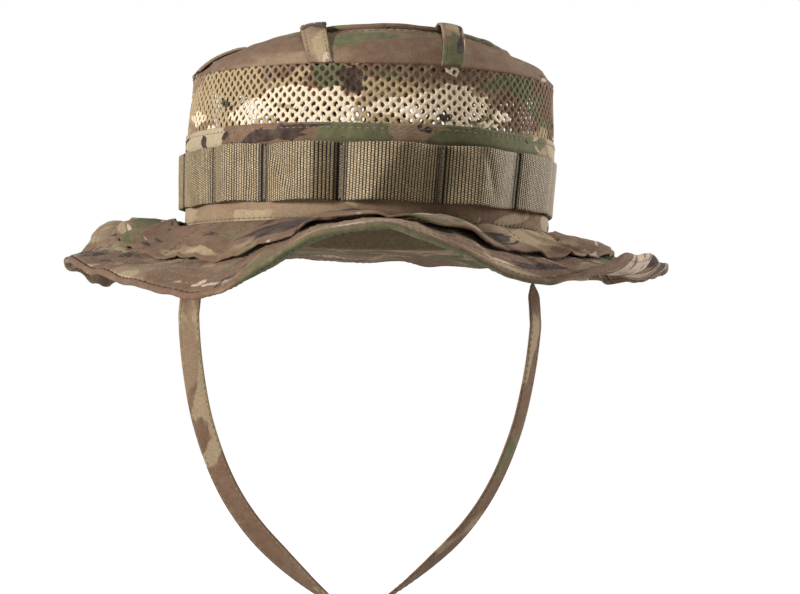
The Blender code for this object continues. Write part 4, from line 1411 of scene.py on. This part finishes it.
def build_brim_felt():
    """Stiffener between the two cloths."""
    s = ring_of(2.4 * MM)
    face = np.linspace(0.02, 0.93, 30)
    level = np.concatenate([face, face[::-1]])
    base, normal = brim(*grid(s, level))
    points = base + normal * np.repeat([0.05 * MM, -0.55 * MM], len(face))[:, None]
    felt = sweep("brim_stiffening", points, True, s, level * BRIM_WIDTH)
    settle(felt, "hat", FELT, ["brim_interlining"])


def build_brim_under():
    """Lower cloth of the brim, which wraps the rim as a rolled bead."""
    s = ring_of(BRIM_STEP)
    count = len(CLOTH_SHARES)
    bead_shares = [0.945, 0.962, 0.980, 0.993, 1.0, 1.0, 0.996, 0.986, 0.972, 0.962, 0.957, 0.955]
    bead_out = np.array([-1.75, -1.75, -1.65, -1.30, -0.75, -0.15, 0.40, 0.85, 1.15, 1.05, 0.70, 0.20]) * MM
    level = np.concatenate([CLOTH_SHARES, bead_shares, [0.950, 0.940], CLOTH_SHARES[::-1]])
    inner_out = np.concatenate([[-0.25 * MM, -0.5 * MM], np.full(count, -0.65 * MM)])
    out = np.concatenate([np.full(count, -1.75 * MM), bead_out, inner_out])
    outer = np.where(np.arange(len(level)) < count, 1.0, 0.0)
    grid_s, grid_l = grid(s, level)
    base, normal = brim(grid_s, grid_l)
    pinch = 0.22 * MM * waves(grid_s, 0, 44, 40, 90) * smooth(grid_l, 0.958, 0.975)
    points = base + normal * (out - brim_quilting(grid_s, grid_l) * outer + pinch)[..., None]
    v = level * BRIM_WIDTH
    tone = guided(grid_s, v[None, :], [
        (-6, 56, 44, 16, "green", 0.50), (-6, 56, 44, 16, "brown", -0.2), (12, 56, 7, 7, "pale", 0.30),
        (-20, 56, 95, 16, "pale", -0.14), (-20, 56, 95, 16, "dark", -0.14), (-88, 56, 36, 16, "brown", 0.35),
        (-88, 56, 36, 16, "green", -0.3), (60, 56, 18, 14, "brown", 0.2), (60, 56, 18, 14, "green", -0.1),
        (78, 56, 30, 30, "pale", 0.12), (78, 56, 34, 30, "green", -0.3), (100, 56, 12, 9, "dark", 0.3),
        (150, 45, 40, 25, "green", -0.2),
    ])
    wrapped = (out > 0.0) & (level > 0.93)
    tone[:, wrapped, :3] = (0.80, 0.10, 0.35)
    under = sweep("brim_lower_cloth", points, True, s, v, tone, brim_plan(grid_s, grid_l) + 0.31)
    settle(under, "hat", CAMO["underbrim"], ["brim_under_cloth"])


def build_brim_stitching():
    """Rows of stitches through both cloths; the first one holds the wrapped rim and lies proud on top."""
    s = ring_of(0.9 * MM)
    for k, share in enumerate(STITCH_SHARES):
        base, normal = brim(s, share)
        lifts = ((1, 1.40 * MM, 0.19 * MM), (-1, 1.70 * MM, 0.19 * MM))
        dimple, thread = brim_quilting(s, share), THREAD["brim"]
        if k == 0:
            lifts = ((1, 0.80 * MM, 0.28 * MM), (-1, 1.66 * MM, 0.19 * MM))
            # near-black thread: the thread's dark colour with painted shade of the hem's ditch
            dimple, thread = 0 * dimple, THREAD["dark"]
        rows = []
        for face, lift, radius in lifts:
            line, away = base + normal * face * (lift + dimple)[:, None], normal * face
            rows.append(stitches("brim_row", line, away, length=2.4 * MM, gap=0.9 * MM, radius=radius))
        settle(join(f"brim_stitching_row_{k + 1}", rows), "hat", thread)


TAPE_INNER = 0.055
TAPE_OUTER = 0.54
TAPE_WIDTH = (TAPE_OUTER - TAPE_INNER) * BRIM_WIDTH
TAPE_OUT = 2.15 * MM
# tack angle in degrees, then for the loop after it: how high it stands in millimetres, how much of
# that its inner edge shares, and where along its length it is fullest
TAPE_LOOPS = (
    (-163, 3.2, 0.5, 0.5), (-146, 3.4, 0.4, 0.5), (-128, 3.4, 0.5, 0.5), (-112, 3.6, 0.6, 0.5),
    (-98, 4.6, 0.8, 0.5), (-84, 2.4, 0.3, 0.4), (-66, 3.2, 0.5, 0.55), (-44, 3.0, 0.3, 0.5),
    (-22, 3.6, 0.7, 0.5), (-3, 4.2, 0.6, 0.55), (24, 2.8, 0.5, 0.45), (36, 3.8, 0.5, 0.6),
    (58, 3.0, 0.6, 0.5), (78, 3.4, 0.8, 0.45), (96, 3.0, 0.6, 0.5), (114, 4.2, 0.5, 0.5),
    (132, 4.0, 0.4, 0.5), (148, 3.8, 0.5, 0.5), (165, 4.0, 0.5, 0.5),
)


def tape_lift(s, across):
    """How far the loop tape stands off the brim; across runs from 0 at its inner edge to 1 at its outer."""
    tacks, heights, inner_shares, peaks = np.array(TAPE_LOOPS, float).T
    turned = (np.degrees(theta_of(s)) - tacks[0]) % 360 + tacks[0]
    i = np.clip(np.searchsorted(tacks, turned, side="right") - 1, 0, len(tacks) - 1)
    ends = np.append(tacks[1:], tacks[0] + 360)
    share = (turned - tacks[i]) / (ends[i] - tacks[i])
    share = share ** (np.log(0.5) / np.log(peaks[i]))
    arch = np.sin(math.pi * np.clip(share, 0, 1)) ** 0.85
    inner = inner_shares[i]
    return heights[i] * MM * arch * (inner + (1 - inner) * across)


def build_brim_tape():
    """Self-fabric tape sewn to the brim at intervals, standing up in a loop between each two tacks."""
    s = ring_of(0.8 * MM)
    v, out = strip_profile(0.0, TAPE_WIDTH, 1.2 * MM, 25)
    grid_s, across = grid(s, v / v.max())
    base, normal = brim(grid_s, TAPE_INNER + across * (TAPE_OUTER - TAPE_INNER))
    lift = tape_lift(grid_s, across)
    loose = smooth(lift, 0.2 * MM, 2.5 * MM)
    soft = waves(grid_s, across * 0.026, 91, 9, 24, slant=120) * 0.55 * MM * loose
    ridges = crease(waves(grid_s, across * 0.026, 92, 14, 36, count=5, slant=190), 2.6)
    crumple = bump_at(grid_s, 75 * MM, 20 * MM) + 0.6 * bump_at(grid_s, -95 * MM, 16 * MM)
    folds = (ridges - 0.4) * 1.5 * MM * loose * (0.45 + 1.1 * crumple)
    curl = -1.2 * MM * smooth(across, 0.72, 1.0) * smooth(lift, 1 * MM, 4 * MM)
    away = np.maximum(TAPE_OUT + lift + soft + folds + curl, TAPE_OUT) + out
    tone = guided(grid_s, v[None, :], [
        (-85, 12, 60, 22, "brown", 0.50), (10, 14, 80, 20, "green", -0.15), (-96, 21, 12, 4, "brown", -0.6),
        (-78, 23, 14, 4, "brown", -0.65),
        (-104, 12, 10, 8, "brown", 0.4), (-95, 10, 40, 12, "green", -0.15), (-52, 20, 10, 6, "brown", -0.45),
        (-45, 18, 6, 8, "dark", 0.20), (-34, 14, 9, 8, "dark", 0.30), (-22, 12, 5, 6, "green", 0.4),
        (-14, 14, 7, 7, "dark", 0.30), (-2, 13, 7, 8, "dark", 0.28), (7, 12, 6, 8, "brown", -0.5),
        (13, 12, 6, 8, "green", 0.5), (22, 14, 9, 8, "brown", -0.45), (36, 14, 10, 9, "dark", 0.24),
        (55, 12, 16, 10, "brown", -0.2), (50, 6, 8, 4, "dark", 0.2), (72, 14, 8, 8, "pale", 0.12),
        (92, 12, 10, 10, "brown", -0.1), (120, 12, 34, 16, "green", -0.35), (120, 12, 34, 16, "brown", 0.12),
        (180, 10, 20, 12, "green", 0.3), (-70, 8, 12, 6, "green", 0.25), (0, 12, 120, 20, "pale", -0.10),
    ])
    tape = sweep("brim_tape_loops", base + normal * away[..., None], True, s, v, tone)
    settle(tape, "hat", CAMO["tape"], ["brim_loop_tape"])
    sizes = {"length": 1.9 * MM, "gap": 0.7 * MM, "radius": 0.2 * MM, "closed": False}
    shares = TAPE_INNER + np.linspace(0.06, 0.94, 24) * (TAPE_OUTER - TAPE_INNER)
    rows = []
    for degrees, *_ in TAPE_LOOPS:
        at = float(length_of(np.radians(degrees)))
        base, normal = brim(at, shares)
        line = base + normal * (TAPE_OUT + 0.65 * MM)
        x, y = outward(theta_of(at))
        for shift in (-0.5, 0.5):
            beside = np.array([-y, x, 0]) * shift * 1.1 * MM
            rows.append(stitches("tack_row", line + beside, normal, **sizes))
    settle(join("brim_tape_tacks", rows), "hat", THREAD["brim"])


# ---------------------------------------------------------------- room and light

ROOM_LIGHT = 0.155
# name, place, width of the lamp in metres, power in watts
LAMPS = (
    ("key_light", (-1.98, -0.80, 0.30), 0.32, 46),
    ("front_light", (0.30, -2.00, 0.05), 1.2, 4),
    ("top_light", (0.45, -0.40, 1.65), 0.8, 12.5),
    ("side_light", (1.41, 0.50, 0.30), 0.40, 19),
)


def build_floor():
    """Plain pale floor, which the camera sees as white."""
    size = 9.0
    height = CAD_BOX[0].z - 0.002
    mesh = bpy.data.meshes.new("floor")
    corners = [(-size, -size, height), (size, -size, height), (size, size, height), (-size, size, height)]
    mesh.from_pydata(corners, [], [(0, 1, 2, 3)])
    floor = bpy.data.objects.new("floor", mesh)
    bpy.context.scene.collection.objects.link(floor)
    paint = Cloth("floor_paint", 0.9)
    speck = paint.noise(paint.place(), 40, 2)
    seen = paint.node("ShaderNodeLightPath", {}).outputs["Is Camera Ray"]
    paint.put(paint.shader, "Emission Color", (1, 1, 1, 1))
    paint.put(paint.shader, "Emission Strength", seen)
    mesh.materials.append(paint.colour(paint.mix(speck, (0.62, 0.62, 0.62, 1), (0.66, 0.66, 0.66, 1))))


def build_world():
    """Weak light from all round, and plain white where the camera looks past everything."""
    world = bpy.data.worlds.new("room")
    bpy.context.scene.world = world
    world.use_nodes = True
    tree = world.node_tree
    light = tree.nodes["Background"]
    seen = tree.nodes.new("ShaderNodeBackground")
    for background, strength in ((light, ROOM_LIGHT), (seen, 1.0)):
        background.inputs["Color"].default_value = (1, 1, 1, 1)
        background.inputs["Strength"].default_value = strength
    chooser = tree.nodes.new("ShaderNodeLightPath")
    mixer = tree.nodes.new("ShaderNodeMixShader")
    tree.links.new(chooser.outputs["Is Camera Ray"], mixer.inputs[0])
    tree.links.new(light.outputs[0], mixer.inputs[1])
    tree.links.new(seen.outputs[0], mixer.inputs[2])
    tree.links.new(mixer.outputs[0], tree.nodes["World Output"].inputs[0])


def build_lamps():
    """A strong small lamp on the left, a weaker one at the right rear, and soft ones in front and above."""
    for name, place, width, power in LAMPS:
        data = bpy.data.lights.new(name, "AREA")
        data.energy = power
        data.size = width
        lamp = bpy.data.objects.new(name, data)
        lamp.location = place
        lamp.rotation_mode = "QUATERNION"
        lamp.rotation_quaternion = (Vector(place) - Vector((0, 0, 0.02))).to_track_quat("Z", "Y")
        bpy.context.scene.collection.objects.link(lamp)


# ---------------------------------------------------------------- the hat

build_strap()
build_keeper()
build_anchor("anchor_tab_left", 1, "strap_anchor_left")
build_anchor("anchor_tab_right", -1, "strap_anchor_right")
build_lower_band()
build_mesh_vent()
build_upper_side()
build_top_panel()
build_piping()
build_binding()
build_sweatband()
build_webbing()
for seed, (place, centre, along_y, back, stand, spots) in enumerate(CROWN_LOOPS, start=1):
    build_crown_loop(f"seam_loop_{place}", centre, along_y, back, f"crown_loop_{place}", spots, seed, stand)
build_brim_top()
build_brim_felt()
build_brim_under()
build_brim_stitching()
build_brim_tape()
build_floor()
build_world()
build_lamps()
bpy.context.scene.view_settings.view_transform = "Standard"
